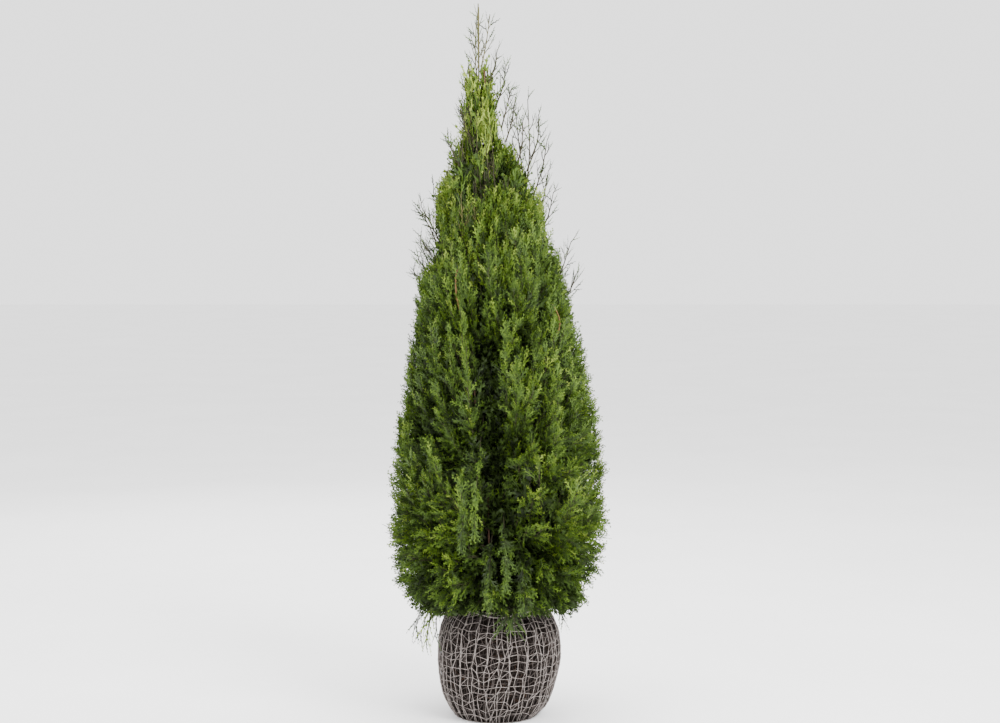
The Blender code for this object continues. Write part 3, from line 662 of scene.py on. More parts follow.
def spray_template(rng, branchlets, lobes, width, reach):
    """One spray of length 1 along +X: its blade and its young tips.

    The branchlet at u along the midrib is reach (1 - u)^0.7 min(1, (u + 0.15) / 0.3) long.
    """
    blade, young = Pile(), Pile()
    bow = rng.uniform(-0.06, 0.06)

    def midrib(u):
        return np.array([u, bow * math.sin(math.pi * u), 0.0])

    half = np.array([0, width / 2, 0])
    rib = [midrib(0) - half, midrib(0) + half, midrib(0.5) + 0.8 * half, midrib(0.5) - 0.8 * half]
    blade.add(rib, [np.array([(0, 3, 2), (0, 2, 1)])])
    young.add([rib[3], midrib(1), rib[2]], [np.array([(0, 1, 2)])])
    for k in range(branchlets):
        u = blend(0.06, 0.86, (k + rng.uniform(-0.15, 0.15)) / (branchlets - 1))
        length = reach * (1 - u) ** 0.7 * min(1.0, (u + 0.15) / 0.30) * rng.uniform(0.85, 1.15)
        angle = math.radians(rng.uniform(32, 54)) * (1 if k % 2 else -1)
        tilt = rng.uniform(-0.22, 0.22)
        start = midrib(u)
        way = unit(np.array([math.cos(angle), math.sin(angle), tilt]))
        bent = unit(np.array([math.cos(angle * 0.6), math.sin(angle * 0.6), tilt]))
        knee = start + way * length * 0.3
        end = knee + bent * length * 0.7
        pile = young if u > YOUNG_BRANCHLETS else blade
        pile.add(*kite(start - way * length * 0.12, knee, end, width))
        for j in range(lobes):
            share = (j + 0.6) / (lobes + 0.2)
            foot = blend(knee, end, share - 0.4)
            turn = angle + math.radians(rng.uniform(26, 40)) * (1 if (j + k) % 2 else -1)
            small = max(length * 0.62 * (1.2 - share), 0.105) * rng.uniform(0.85, 1.2)
            way = unit(np.array([math.cos(turn), math.sin(turn), rng.uniform(-0.3, 0.3)]))
            pile = young if u > YOUNG_LOBES else blade
            pile.add(*lobe(foot, way, small, 0.8 * width))
    return blade, young


def templates(name, count, *shape):
    """Several sprays of one kind, each from a seed of its own."""
    made = [spray_template(random.Random(f"{SEED} {name} {k}"), *shape) for k in range(count)]
    print(name, "sprays of", [blade.triangles() + young.triangles() for blade, young in made], "triangles")
    return made


TEMPLATES = (  # how many; branchlets, lobes on each, width of a branchlet and reach of the longest
    templates("fine", 12, 6, 1, 0.076, 0.50),
    templates("coarse", 4, 5, 1, 0.130, 0.52),
    templates("slim", 4, 6, 0, 0.075, 0.28),
)
FINE, COARSE, SLIM = range(3)

# %% [markdown]
# ## Habit and colour
#
# Near the ground a thuja's sprays are long and droop a little, and up in the light they are short, stand
# upright and turn yellow-green. Each part could be styled by hand, but then the seams between the tiers
# would show. So a few tables say how habit and colour change with height, and every plume reads them
# where it grows. A tone is a step on a scale of greens, from the painted shade of the inside to the newest
# tips, and the tables paint light and shade into it too: darker low down, paler up top besides the paler
# new growth, and lighter or darker on one side.

# %% Habit and colour
TONES = 7
TONE_PROFILE = (  # height, tone: darker low down and paler up top, partly painted light and shade
    (0.30, 0.8),
    (0.42, 1.8),
    (0.60, 2.3),
    (0.90, 1.7),
    (1.15, 1.6),
    (1.30, 2.2),
    (1.45, 3.0),
    (1.60, 4.3),
    (1.75, 5.3),
)
PAINTED_LIGHT_SIDE = math.radians(-35)  # azimuth of the side given painted light and shade: lighter towards it low down, darker high up

# Of each tier: length and droop of its sprays, lowest and highest climb of its plumes in degrees, the
# least turn of a plume about its twig in radians, and how far its twigs spread.
Habit = namedtuple("Habit", "spray droop low high turn spread")
HABITS = {
    "skirt": Habit(0.041, 0.14, -16, 70, 0.3, 0.95),
    "middle": Habit(0.038, 0.02, 46, 78, 0.6, 0.95),
    "upper": Habit(0.036, -0.10, 58, 82, 0.8, 0.9),
    "leader": Habit(0.034, -0.16, 66, 86, 0.8, 0.8),
    "spire": Habit(0.032, -0.18, 74, 88, 0.4, 0.65),
}
HOLLOWS = (  # azimuth and width in degrees, height, span, depth
    (-94, 13, 0.84, 0.32, 1.0),
    (-122, 20, 1.52, 0.08, 0.8),
)
HOLLOW_DEPTH = 0.42  # share of the way to the trunk that a full hollow draws the leaves in


def hollow(azimuth, height):
    """1 in the deep fold down the front, 0.8 in the one beside the spire, and 0 away from them."""
    fold = 0.0
    for middle, width, centre, span, depth in HOLLOWS:
        off = turn_between(math.radians(middle), azimuth) / math.radians(width)
        fold = fold + depth * np.exp(-(off**2) - ((height - centre) / span) ** 4)
    return fold


def turned(azimuth):
    """The ways out and along the round at an azimuth."""
    out = outwards(azimuth)
    return out, np.stack([-out[..., 1], out[..., 0], out[..., 2]], axis=-1)


def plume_tone(tip, azimuth, darker, draw):
    """Tone of height + patches + painted light by side - painted shade in the hollows + a little chance -
    painted shade inside.
    """
    height = tip[:, 2]
    patch = 0.6 * fractal_noise(tip * 7.0, 2, SEED)
    # Painted light and shade by side: lighter towards that azimuth low down, darker towards it high up.
    side = np.cos(azimuth - PAINTED_LIGHT_SIDE) * blend(0.20, -0.45, ease((height - 1.05) / 0.30))
    # Painted shade: darker in the hollows.
    side = side - 1.9 * hollow(azimuth, height)
    # Painted shade of the inner shells, weaker up in the spire.
    shade = darker * blend(1.0, 0.3, ease((height - 1.38) / 0.16))
    return hermite(TONE_PROFILE, height) + patch + side + draw.uniform(-0.45, 0.45, len(tip)) - shade


print("tones at 0.5, 1.0 and 1.6 m:", [round(float(hermite(TONE_PROFILE, z)), 2) for z in (0.5, 1.0, 1.6)])

# %% [markdown]
# ## Plumes
#
# Twigs leave each stem for the outside of the crown, and the feathery end of a twig is a *plume*.
# Sprays strewn over the outline at random would look like moss, so the tips of the plumes stand in
# staggered rows, nudged out of line. A real crown is dark and bare inside. Three more shells of ever
# coarser plumes, darker by painted shade, stand for its shaded layers, and no light shines through.


# %% Tips of the plumes
Plumes = namedtuple("Plumes", "foot root tip wide size tone scale")
Shell = namedtuple("Shell", "share fewer_rows fewer_columns darker scale")
SHELLS = (  # share of the reach, rows and columns fewer, how much darker by painted shade, and size of the sprays
    Shell(1.00, 0, 0, 0.0, 1.0),
    Shell(0.83, 2, 2, 1.6, 1.6),
    Shell(0.56, 2, 3, 2.6, 2.6),
    Shell(0.34, 3, 3, 2.8, 3.0),
)


def chosen(record, pick):
    """The rows of a record of arrays that are picked."""
    return type(record)(*(field[pick] for field in record))


def joined(records):
    """Records of arrays, put end to end."""
    return type(records[0])(*(np.concatenate(fields) for fields in zip(*records)))


def shell_tips(space, shell, draw):
    """The tips of a shell's plumes, with their azimuths and how high in their space they stand.

    They sit on a staggered grid on the solids' outline, times the shell's share. The outline is then
    trimmed to that of the leaves, and pulled towards the trunk in the hollows.
    """
    rows = max(space.tier.rows - shell.fewer_rows, 2)
    columns = max(space.tier.columns - shell.fewer_columns, 2)
    row, column = (index.ravel() for index in np.indices((rows, columns)))
    count = len(row)
    across = (column + 0.5 + 0.2 * (-1.0) ** row) / columns + draw.uniform(-0.09, 0.09, count)
    lift = blend(LOWEST_ROW, HIGHEST_ROW, row / (rows - 1)) + draw.uniform(-0.06, 0.06, count)
    across, lift = np.clip(across, 0.03, 0.97), np.clip(lift, 0.0, 1.0)
    tip = space.at(across, lift, shell.share * draw.uniform(0.90, 1.04, count))
    azimuth, radius = polar(tip)
    height = tip[:, 2]
    radius = radius * leaf_reach(azimuth, height) / crown_reach(azimuth, height)
    inwards = HOLLOW_DEPTH * hollow(azimuth, height) * shell.share**2
    tip = blend(crown_point(azimuth, radius, height), trunk_axis(height), inwards[:, None])
    return tip, azimuth, lift


print("shells:", len(SHELLS))


# %% Plumes
def stem_feet(stem, root):
    """Where twigs leave a stem on their way to the roots of plumes: below them, by 0.4 of the gap."""
    gap = np.linalg.norm(root[:, None] - stem[None], axis=2).min(axis=1)
    height = np.clip(root[:, 2] - 0.4 * gap, stem[1, 2], stem[-2, 2])
    return np.stack([np.interp(height, stem[:, 2], stem[:, axis]) for axis in range(3)], axis=-1)


def plumes_of(space, draw):
    """The plumes of one space, in all its shells. Each climbs outwards and is turned about its twig."""
    habit = HABITS[space.tier.name]
    points, _, first = LIMBS[space.name]
    made = []
    for shell in SHELLS:
        tip, azimuth, lift = shell_tips(space, shell, draw)
        count = len(tip)
        out, along = turned(azimuth)
        climb = np.radians(blend(habit.low, habit.high, lift)) + draw.uniform(-0.22, 0.22, count)
        way = np.cos(climb)[:, None] * out + np.sin(climb)[:, None] * UP
        way = unit(way + draw.uniform(-0.20, 0.20, count)[:, None] * along)
        size = space.tier.fan * blend(0.85, 1.15, lift) * draw.uniform(0.85, 1.15, count)
        root = tip - way * size[:, None]
        turn = draw.choice([-1.0, 1.0], count) * draw.uniform(habit.turn, 1.5, count)
        wide = np.cos(turn)[:, None] * along + np.sin(turn)[:, None] * np.cross(way, along)
        tone = plume_tone(tip, azimuth, shell.darker, draw)
        foot = stem_feet(points[first:], root)
        made.append(Plumes(foot, root, tip, wide, size, tone, np.full(count, shell.scale)))
    return joined(made)


trial = plumes_of(SPACES[0], np.random.default_rng(0))
print("plumes in the first space:", len(trial.size))

# %% [markdown]
# ## Streamers
#
# Some shoots outgrow their neighbours and lie over them as long plumes: pale ones beside the fold down
# the front, a fringe that hangs over the ball, and a crowd of them round the spire. Chance alone would
# seldom put one where the eye looks first, so these are listed one by one, and chance adds more all round.

# %% Streamers
Streamer = namedtuple("Streamer", "azimuth low high share size lighter")
STREAMERS = (  # degrees, height of foot and tip, share of the crown's reach, width, change of tone (painted light on the pale ones)
    Streamer(-108, 0.82, 1.10, 1.02, 0.6, 1.2),
    Streamer(-112, 0.96, 1.20, 1.01, 0.5, 1.0),
    Streamer(-76, 0.80, 1.02, 1.00, 0.5, 0.9),
    Streamer(-80, 0.92, 1.14, 1.00, 0.5, 0.7),
    Streamer(-103, 0.78, 0.57, 1.00, 0.35, 0.8),
    Streamer(-110, 0.70, 0.54, 1.00, 0.35, 0.2),
    Streamer(-86, 0.54, 0.43, 0.98, 0.4, 0.0),
    Streamer(-96, 0.48, 0.38, 1.00, 0.4, 0.2),
    Streamer(-74, 0.46, 0.36, 1.00, 0.4, 0.0),
    Streamer(-128, 1.14, 1.44, 1.00, 0.7, 1.2),
    Streamer(-108, 1.20, 1.50, 1.02, 0.6, 1.5),
    Streamer(-140, 1.32, 1.56, 0.98, 0.6, 0.7),
    Streamer(-150, 1.44, 1.72, 0.90, 0.6, 0.4),
    Streamer(-92, 1.36, 1.62, 0.90, 0.6, 0.4),
    Streamer(-100, 1.40, 1.58, 0.95, 0.6, 0.3),
    Streamer(-84, 1.42, 1.62, 0.95, 0.6, 0.4),
    Streamer(-68, 1.38, 1.57, 0.95, 0.6, 0.3),
    Streamer(-98, 1.50, 1.74, 0.96, 0.5, 0.6),
    Streamer(-76, 1.44, 1.66, 0.96, 0.5, 0.4),
    Streamer(-60, 1.52, 1.74, 0.90, 0.5, 0.4),
    Streamer(-170, 1.44, 1.60, 1.05, 0.6, 0.4),
    Streamer(-140, 1.52, 1.74, 0.95, 0.5, 0.4),
    Streamer(-15, 1.46, 1.61, 0.92, 0.6, 0.4),
    Streamer(20, 1.54, 1.74, 0.95, 0.5, 0.4),
    Streamer(80, 1.50, 1.72, 0.95, 0.5, 0.4),
    Streamer(140, 1.46, 1.66, 0.98, 0.5, 0.4),
    *(Streamer(k * 40 - 170, 1.40 + 0.03 * (k % 3), 1.61, 0.72, 0.7, 0.2) for k in range(9)),
    *(Streamer(k * 45 - 160, 1.49 + 0.03 * (k % 2), 1.68, 0.60, 0.7, 0.2) for k in range(8)),
    Streamer(-64, 1.22, 1.46, 0.96, 0.5, 0.6),
    Streamer(-50, 1.14, 1.48, 0.98, 0.6, 0.8),
    Streamer(-22, 1.24, 1.56, 0.98, 0.6, 0.7),
    Streamer(-30, 0.76, 1.02, 1.00, 0.6, 1.0),
    Streamer(-52, 0.66, 0.90, 1.00, 0.6, 0.8),
    Streamer(-42, 0.90, 1.14, 1.00, 0.6, 0.8),
    Streamer(-138, 0.90, 1.14, 1.00, 0.6, 0.7),
    Streamer(-158, 0.66, 0.88, 1.00, 0.6, 0.7),
)
LOOSE_STREAMERS = 70  # more of them all round


def loose_streamers(draw):
    """Streamers at random heights and azimuths, but for the hollows."""
    made = []
    for _ in range(LOOSE_STREAMERS):
        low = draw.uniform(0.50, 1.35)
        tall = draw.uniform(0.16, 0.28)
        azimuth = draw.uniform(-180, 180)
        share = draw.uniform(0.96, 1.03)
        streamer = Streamer(azimuth, low, low + tall, share, draw.uniform(0.4, 0.8), draw.uniform(-0.2, 0.9))
        if hollow(math.radians(azimuth), low + 0.5 * tall) < 0.25:
            made.append(streamer)
    return made


def streamer_plumes(streamers, draw):
    """Long plumes on the outside of the crown, from the height of each one's foot to that of its tip."""
    azimuth, low, high, share, size, lighter = np.array(streamers, float).T
    azimuth = np.radians(azimuth)
    out, along = turned(azimuth)
    root = crown_point(azimuth, share * crown_reach(azimuth, low) * 0.93, low)
    tip = crown_point(azimuth, share * crown_reach(azimuth, high) * 0.98, high)
    foot = crown_point(azimuth, 0.55 * crown_reach(azimuth, low), low - 0.10 * np.sign(high - low))
    root = blend(root, tip, 0.25)
    wide = unit(along + 0.6 * out + draw.normal(size=along.shape) * 0.3)
    # The lighter streamers carry painted light on top of their tone by height.
    tone = hermite(TONE_PROFILE, (low + high) / 2) - 0.4 + lighter
    return Plumes(foot, root, tip, wide, np.linalg.norm(tip - root, axis=1) * size, tone, np.ones(len(low)))


print("streamers set by hand:", len(STREAMERS))

# %% [markdown]
# ## From plumes to sprays
#
# A plume is itself a small fern. Its twig is a curve that bends up from the stem, finer twigs leave it
# on alternate sides, shorter and shorter towards its tip, and the last one goes straight on. Each finer
# twig carries three sprays beside it and one at its end. Geometry nodes could scatter the sprays along
# curves, but each one also needs a tone of its own and has to keep clear of the soil, and with arrays
# each of these is a line or two.


# %% Curves of twigs
Sprays = namedtuple("Sprays", "origin way normal length droop tone kind")
# How many finer twigs a plume has, how far along its twig they start, and the reach of the first.
Branching = namedtuple("Branching", "fine first reach")
OUTER, INNER, LONG = Branching(12, 0.34, 0.32), Branching(4, 0.42, 0.36), Branching(14, 0.20, 0.10)
SPRAY_PLACES = np.array([0.22, 0.48, 0.74, 0.97])[:, None]  # along a finer twig
SPRAY_SIDES = np.array([1.0, -1.0, 1.0, 0.0])


def bezier(a, b, c, t):
    """(1 - t)^2 a + 2 t (1 - t) b + t^2 c."""
    return (1 - t) ** 2 * a + 2 * t * (1 - t) * b + t**2 * c


def bezier_way(a, b, c, t):
    """The way along that curve, from its slope (1 - t)(b - a) + t (c - b)."""
    return unit((1 - t) * (b - a) + t * (c - b))


def square_to(vectors, way):
    """The vectors without the part that lies along a way."""
    return unit(vectors - way * np.sum(vectors * way, -1, keepdims=True))


def swung(heading, plane, angle):
    """A heading turned by an angle within the plane of a spray."""
    return np.cos(angle)[..., None] * heading + np.sin(angle)[..., None] * np.cross(plane, heading)


print("sprays on an outer plume:", OUTER.fine * len(SPRAY_PLACES))


# %% Finer twigs and sprays
def finer_twigs(plumes, habit, branching, narrow, draw):
    """Starts, middles and ends of finer twigs, the side each leaves on, and the normal of its plume."""
    count, fine = len(plumes.size), branching.fine
    foot, root, tip, wide = (field[:, None] for field in plumes[:4])
    share = np.linspace(0, 1, fine)[None, :] + draw.uniform(-0.03, 0.03, (count, fine))
    t = blend(branching.first, 0.94, np.clip(share, 0, 1))
    side = np.where(np.arange(fine) % 2, 1.0, -1.0)[None, :, None]
    spread = np.radians(draw.uniform(20, 36, (count, fine))) * narrow
    spread[:, -1] = 0.05
    roll = draw.uniform(-1.0, 1.0, (count, fine))[..., None]
    t = t[..., None]
    start = bezier(foot, root, tip, t)
    along = bezier_way(foot, root, tip, t)
    across = square_to(wide, along)
    normal = np.cross(along, across)
    aside = side * (np.cos(roll) * across + np.sin(roll) * normal)
    way = unit(np.cos(spread)[..., None] * along + np.sin(spread)[..., None] * aside)
    reach = blend(branching.reach, 0.45 * branching.reach, share)
    length = plumes.size[:, None] * reach * draw.uniform(0.8, 1.2, (count, fine))
    bent = unit(way + 0.30 * along - 1.5 * habit.droop * UP)
    middle = start + way * length[..., None] * 0.5
    end = middle + bent * length[..., None] * 0.5
    return start, middle, end, side, normal


def grow(plumes, habit, branching, narrow, draw):
    """Twigs, finer twigs and sprays of plumes. All their angles are made smaller by narrow."""
    foot, root, tip = (field[:, None] for field in plumes[:3])
    main = bezier(foot, root, tip, np.linspace(0, 0.95, 7)[None, :, None])
    start, middle, end, side, normal = finer_twigs(plumes, habit, branching, narrow, draw)
    finer = np.stack([start, middle, end], axis=2).reshape(-1, 3, 3)

    shape = (*start.shape[:2], len(SPRAY_PLACES))
    ends = (start[:, :, None], middle[:, :, None], end[:, :, None])
    origin = bezier(*ends, SPRAY_PLACES)
    heading = bezier_way(*ends, SPRAY_PLACES)
    plane = unit(normal[:, :, None] + 0.75 * draw.normal(size=(*shape, 3)))
    plane = square_to(plane, heading)
    angle = np.radians(draw.uniform(16, 38, shape)) * (SPRAY_SIDES * side) * narrow
    heading = swung(heading, plane, angle)
    scale = plumes.scale[:, None, None]
    tall = habit.spray * draw.uniform(0.75, 1.25, shape) * scale
    droop = habit.droop + draw.normal(size=shape) * 0.13
    varied = blend(0.75, 1.0, ease((origin[..., 2] - 1.2) / 0.3))
    tone = plumes.tone[:, None, None] + draw.normal(size=shape) * varied
    kind = np.where(scale > 1.2, COARSE, FINE) + np.zeros(shape, int)
    fields = (origin, heading, plane, tall, droop, tone, kind)
    return main, finer, Sprays(*(field.reshape(-1, *field.shape[3:]) for field in fields))


trial = grow(trial, HABITS["skirt"], OUTER, 1.0, np.random.default_rng(0))
print("sprays in the first space:", len(trial[2].length))

# %% [markdown]
# ## Trimming
#
# A hedge is clipped, and so is this one: a spray that would stand out of the outline is drawn in, one
# that would dip into the soil is shortened, and near the top some are left out, so that the sky shows
# through the spire. A boolean cut would be simpler, but it would leave straight edges across the leaves.


# %% Trimming
WIDEST = 0.326  # reach that no tip of a spray goes past
WIDEST_NUDGE = 0.024
SOIL_GAP = 0.020
FRINGE_HEIGHT, FRINGE_RISE = 0.298, 0.038  # lowest tips of sprays, and how much higher at the front
LEAF_TOP = 1.95
MOST_DRAWN_IN = 0.060
GAP_HEIGHTS, GAP_FLOORS = (1.30, 1.55, 1.66), (0.90, 0.10, 0.00)  # where noise above a floor opens a gap
BARE_HEIGHTS, BARE_SHARES = (1.58, 1.72, 1.80, 1.90), (0.06, 0.42, 0.68, 0.96)  # share of sprays left out


def spray_ends(sprays):
    """Where the tips of sprays are: origin + length (way - droop up)."""
    return sprays.origin + (sprays.way - sprays.droop[:, None] * UP) * sprays.length[:, None]


def reach_limit(end, draw):
    """How far tips may stand out: the leaves' reach, looser in tufts towards the top."""
    azimuth, _ = polar(end)
    height = end[:, 2]
    tuft = lattice_noise(np.stack([3 * np.cos(azimuth), 3 * np.sin(azimuth), height * 22], axis=-1), 41)
    loose = ease((height - 1.20) / 0.30) * (0.16 + 0.24 * tuft)
    return leaf_reach(azimuth, height) * (1.05 + loose) + 0.008 + draw.uniform(-0.012, 0.008, len(end))


def too_far(end):
    """Whether tips lie in the soil, hang below the fringe or stand above the leaves' top."""
    azimuth, radius = polar(end)
    height = end[:, 2]
    soil = ball_radius(np.clip(height, 0, BALL_TOP)) * (height < BALL_TOP + 0.010) + SOIL_GAP
    fringe = FRINGE_HEIGHT + FRINGE_RISE * np.maximum(-np.sin(azimuth), 0) ** 2
    return (radius < soil) | (height < fringe) | (height > LEAF_TOP)


def kept_inside(sprays, draw):
    """Draws in the sprays that reach out of the crown, shortens those too low or too high, opens gaps."""
    count, full = len(sprays.length), sprays.length
    end = spray_ends(sprays)
    azimuth, radius = polar(end)
    limit = reach_limit(end, draw)
    excess = np.maximum(radius - np.minimum(limit, WIDEST - draw.uniform(0, WIDEST_NUDGE, count)), 0)
    sprays = sprays._replace(origin=sprays.origin - outwards(azimuth) * excess[:, None])
    for _ in range(4):
        shorter = np.where(too_far(spray_ends(sprays)), sprays.length * 0.84, sprays.length)
        sprays = sprays._replace(length=shorter)
    end = spray_ends(sprays)
    height = end[:, 2]
    bare = draw.uniform(size=count) < np.interp(height, BARE_HEIGHTS, BARE_SHARES)
    gap = fractal_noise(sprays.origin * [21.0, 21.0, 9.0], 2, 61) - np.interp(height, GAP_HEIGHTS, GAP_FLOORS)
    opened = (gap > 0) & (polar(end)[1] > 0.45 * limit)
    good = (excess < MOST_DRAWN_IN) & (sprays.length > 0.45 * full)
    return chosen(sprays, good & ~too_far(end) & ~bare & ~opened)


trial = kept_inside(trial[2], np.random.default_rng(0))
print("sprays left after trimming:", len(trial.length))

# %% [markdown]
# ## Setting the sprays
#
# Light changes a spray as much as age does: it is paler on the outside and where it points up, and
# inside it is only a dim shape, so a coarse copy will do. All copies of a template are made at once, by
# one formula for every point of every copy. Instances of an object would save memory, but each spray
# has a droop of its own, and the pieces have to stay whole meshes.


# %% Setting the sprays
def toned(sprays):
    """Paints light and shade: sprays paler outside and where they point up; coarse inside, and mostly slim in
    the spire.
    """
    azimuth, radius = polar(sprays.origin)
    height = sprays.origin[:, 2]
    depth = 1 - radius / crown_reach(azimuth, height)
    # Painted shade deeper in the crown, and painted light where a spray points up.
    tone = sprays.tone + 0.5 - 2.6 * np.clip(depth - 0.05, 0, 1) + 0.5 * sprays.way[:, 2]
    buried = (depth > 0.30) & (sprays.kind == FINE) & (height < 1.45)
    slim = (height > 1.56) & (np.arange(len(depth)) % 4 < 3)
    kind = np.where(slim, SLIM, np.where(buried, COARSE, sprays.kind))
    length = sprays.length * np.where(buried | slim, 1.25, 1.0)
    return sprays._replace(tone=np.clip(np.round(tone), 0, TONES - 1), kind=kind, length=length)


def placed(template, sprays, mirror):
    """Copies of a flat template, one for each spray.

    A point (x, y, z) goes to origin + length (x way + y across + z normal - droop x^2 up). The faces
    of mirrored copies are turned over, so that they look the same way as the others.
    """
    points, faces = np.concatenate(template.points), np.concatenate(template.faces)
    x, y, z = (part[:, None] for part in points.T)
    across = np.cross(sprays.normal, sprays.way) * mirror[:, None]
    shape = x * sprays.way[:, None] + y * across[:, None] + z * sprays.normal[:, None]
    shape -= (sprays.droop[:, None, None] * x**2) * UP
    made = sprays.origin[:, None] + sprays.length[:, None, None] * shape
    turned_over = np.where((mirror < 0)[:, None, None], faces[:, ::-1], faces)
    return made, [(turned_over + (np.arange(len(made)) * len(points))[:, None, None]).reshape(-1, 3)]


def sort_into(heaps, name, sprays, draw):
    """Adds sprays to heaps[name, tone]. Young tips go one tone up from their blade.

    Sprays look out of the crown, half of them are mirrored, and the templates take turns by chance.
    """
    out = unit(sprays.origin * [1, 1, 0] + 0.3 * UP)
    facing = np.where(np.sum(sprays.normal * out, axis=1) < 0, -1.0, 1.0)
    sprays = sprays._replace(normal=sprays.normal * facing[:, None])
    mirror = draw.choice([-1.0, 1.0], len(sprays.length))
    pick = draw.integers(0, 1000, len(sprays.length))
    for kind, made in enumerate(TEMPLATES):
        for number, (blade, young) in enumerate(made):
            for tone in range(TONES):
                mine = (sprays.kind == kind) & (sprays.tone == tone) & (pick % len(made) == number)
                if mine.any():
                    some = chosen(sprays, mine)
                    heaps.setdefault((name, tone), Pile()).add(*placed(blade, some, mirror[mine]))
                    above = min(tone + 1, TONES - 1)
                    heaps.setdefault((name, above), Pile()).add(*placed(young, some, mirror[mine]))


trial = toned(trial)
print("mean tone in the first space:", round(float(trial.tone.mean()), 1))

# %% [markdown]
# ## Growing the crown
#
# Now the crown grows, tier by tier and then streamer by streamer. Leaves are heaped by tier and tone,
# so that each heap can have one plain material, and twigs go to piles of their own. Up in the spire the
# leaves are sparse and their twigs would look like wire, so the thinnest ones are left out there.

# %% Growing the crown
draw = np.random.default_rng(SEED)
heaps, twigs, fine_twigs = {}, Pile(), Pile()
TWIG_RADII = np.linspace(0.0020, 0.0008, 7)
FINER_RADII = np.array([0.0011, 0.0009, 0.0005])
TWIG_TOP = 1.78  # height above which twigs are left out
FINER_TOPS = np.array([1.44, 1.52, 1.62, 1.86])  # and finer twigs, one in four at each of these
STREAMER_SPREAD = 0.7
STREAMER_TIERS = ((0.0, 0.5, "skirt"), (0.5, 0.85, "middle"), (0.85, 1.16, "upper"), (1.16, 2.0, "leader"))


def add_growth(name, growth):
    """Adds leaves to the heaps, and twigs to their piles, and gives the number of sprays."""
    main, finer, sprays = growth
    sprays = toned(kept_inside(sprays, draw))
    sort_into(heaps, name, sprays, draw)
    low = main[:, -1, 2] < TWIG_TOP
    twigs.add(*tubes(main[low], TWIG_RADII, 3))
    low = finer[:, -1, 2] < FINER_TOPS[np.arange(len(finer)) % len(FINER_TOPS)]
    fine_twigs.add(*tubes(finer[low], FINER_RADII, 3))
    return len(sprays.length)


for tier in TIERS:
    plumes = joined([plumes_of(space, draw) for space in SPACES if space.tier is tier])
    outer = plumes.scale < 1.2
    habit = HABITS[tier.name]
    count = add_growth(tier.name, grow(chosen(plumes, outer), habit, OUTER, habit.spread, draw))
    count += add_growth(tier.name, grow(chosen(plumes, ~outer), habit, INNER, habit.spread, draw))
    print(tier.name, "plumes:", len(plumes.size), "sprays:", count)

streamers = (*STREAMERS, *loose_streamers(draw))
for low, high, name in STREAMER_TIERS:
    mine = [s for s in streamers if low <= s.low < high]
    growth = grow(streamer_plumes(mine, draw), HABITS[name], LONG, STREAMER_SPREAD, draw)
    print(name, "streamers:", len(mine), "sprays:", add_growth(name, growth))
print("leaf triangles:", sum(heap.triangles() for heap in heaps.values()))

# %% [markdown]
# ## Sprays that hang by the ball
#
# A few thin sprays have slipped out under the skirt and hang down beside the ball, and one of them is
# still pale. Letting the whole fringe hang lower would hide the ball, so these are listed one by one: a
# twig bends over from its root to its tip, and slim sprays sit along it turn and turn about.

# %% Sprays that hang by the ball
HANGING = (  # roots and tips of the few thin sprays that hang by the ball
    ((-0.175, -0.045, 0.345), (-0.214, -0.052, 0.235)),
    ((-0.168, -0.060, 0.345), (-0.198, -0.072, 0.225)),
    ((-0.180, -0.075, 0.350), (-0.226, -0.088, 0.272)),
    ((-0.178, -0.085, 0.345), (-0.192, -0.104, 0.238)),
    ((-0.182, -0.020, 0.350), (-0.232, -0.026, 0.262)),
    ((-0.160, -0.100, 0.350), (-0.168, -0.118, 0.248)),
    ((0.168, -0.070, 0.345), (0.196, -0.082, 0.285)),
    ((0.050, -0.180, 0.350), (0.056, -0.200, 0.296)),
    ((0.034, -0.185, 0.350), (0.030, -0.204, 0.300)),
)
PALE_ONE, PALE_TONE, HANGING_TONE = 3, 5.0, 1.0


def hanging_sprays(draw):
    """Twigs on curves from root to tip, and sprays along them, each swung aside in its own plane."""
    root, tip = (np.array(part)[:, None] for part in zip(*HANGING))
    middle = (root + tip) / 2 + [0, 0, 0.02]
    places = np.linspace(0.10, 0.97, 12)[None, :, None]
    main = bezier(root, middle, tip, np.linspace(0, 1, 9)[None, :, None])
    origin = bezier(root, middle, tip, places)
    heading = bezier_way(root, middle, tip, places)
    shape = heading.shape[:2]
    out = outwards(np.arctan2(tip[..., 1], tip[..., 0]))
    plane = unit(np.broadcast_to(out, heading.shape) + 0.4 * draw.normal(size=heading.shape))
    plane = square_to(plane, heading)
    angle = np.radians(draw.uniform(24, 44, shape)) * np.where(np.arange(shape[1]) % 2, 1.0, -1.0)
    heading = swung(heading, plane, angle)
    fields = (origin, heading, plane, draw.uniform(0.036, 0.060, shape), np.full(shape, 0.15))
    tone = np.where(np.arange(shape[0]) == PALE_ONE, PALE_TONE, HANGING_TONE)[:, None]
    tone = (tone + draw.uniform(-0.6, 0.6, shape)).round()
    fields = (*fields, tone, np.full(shape, SLIM))
    return main, Sprays(*(field.reshape(-1, *field.shape[2:]) for field in fields))


main, sprays = hanging_sprays(draw)
sort_into(heaps, "skirt", sprays, draw)
twigs.add(*tubes(main, np.linspace(0.0019, 0.0009, 9), 4))
print("hanging twigs:", len(main), "sprays:", len(sprays.length))

# %% [markdown]
# ## Bare shoots
#
# Where the plant grew fastest, thin shoots stand out of the crown with hardly any leaf on them. The
# tallest of them forks off the leader just below its tip. Hair could grow such shoots all over, but
# there are few, and each of them shapes the outline. So three points give each one its path, and only
# its side twigs are left to chance.

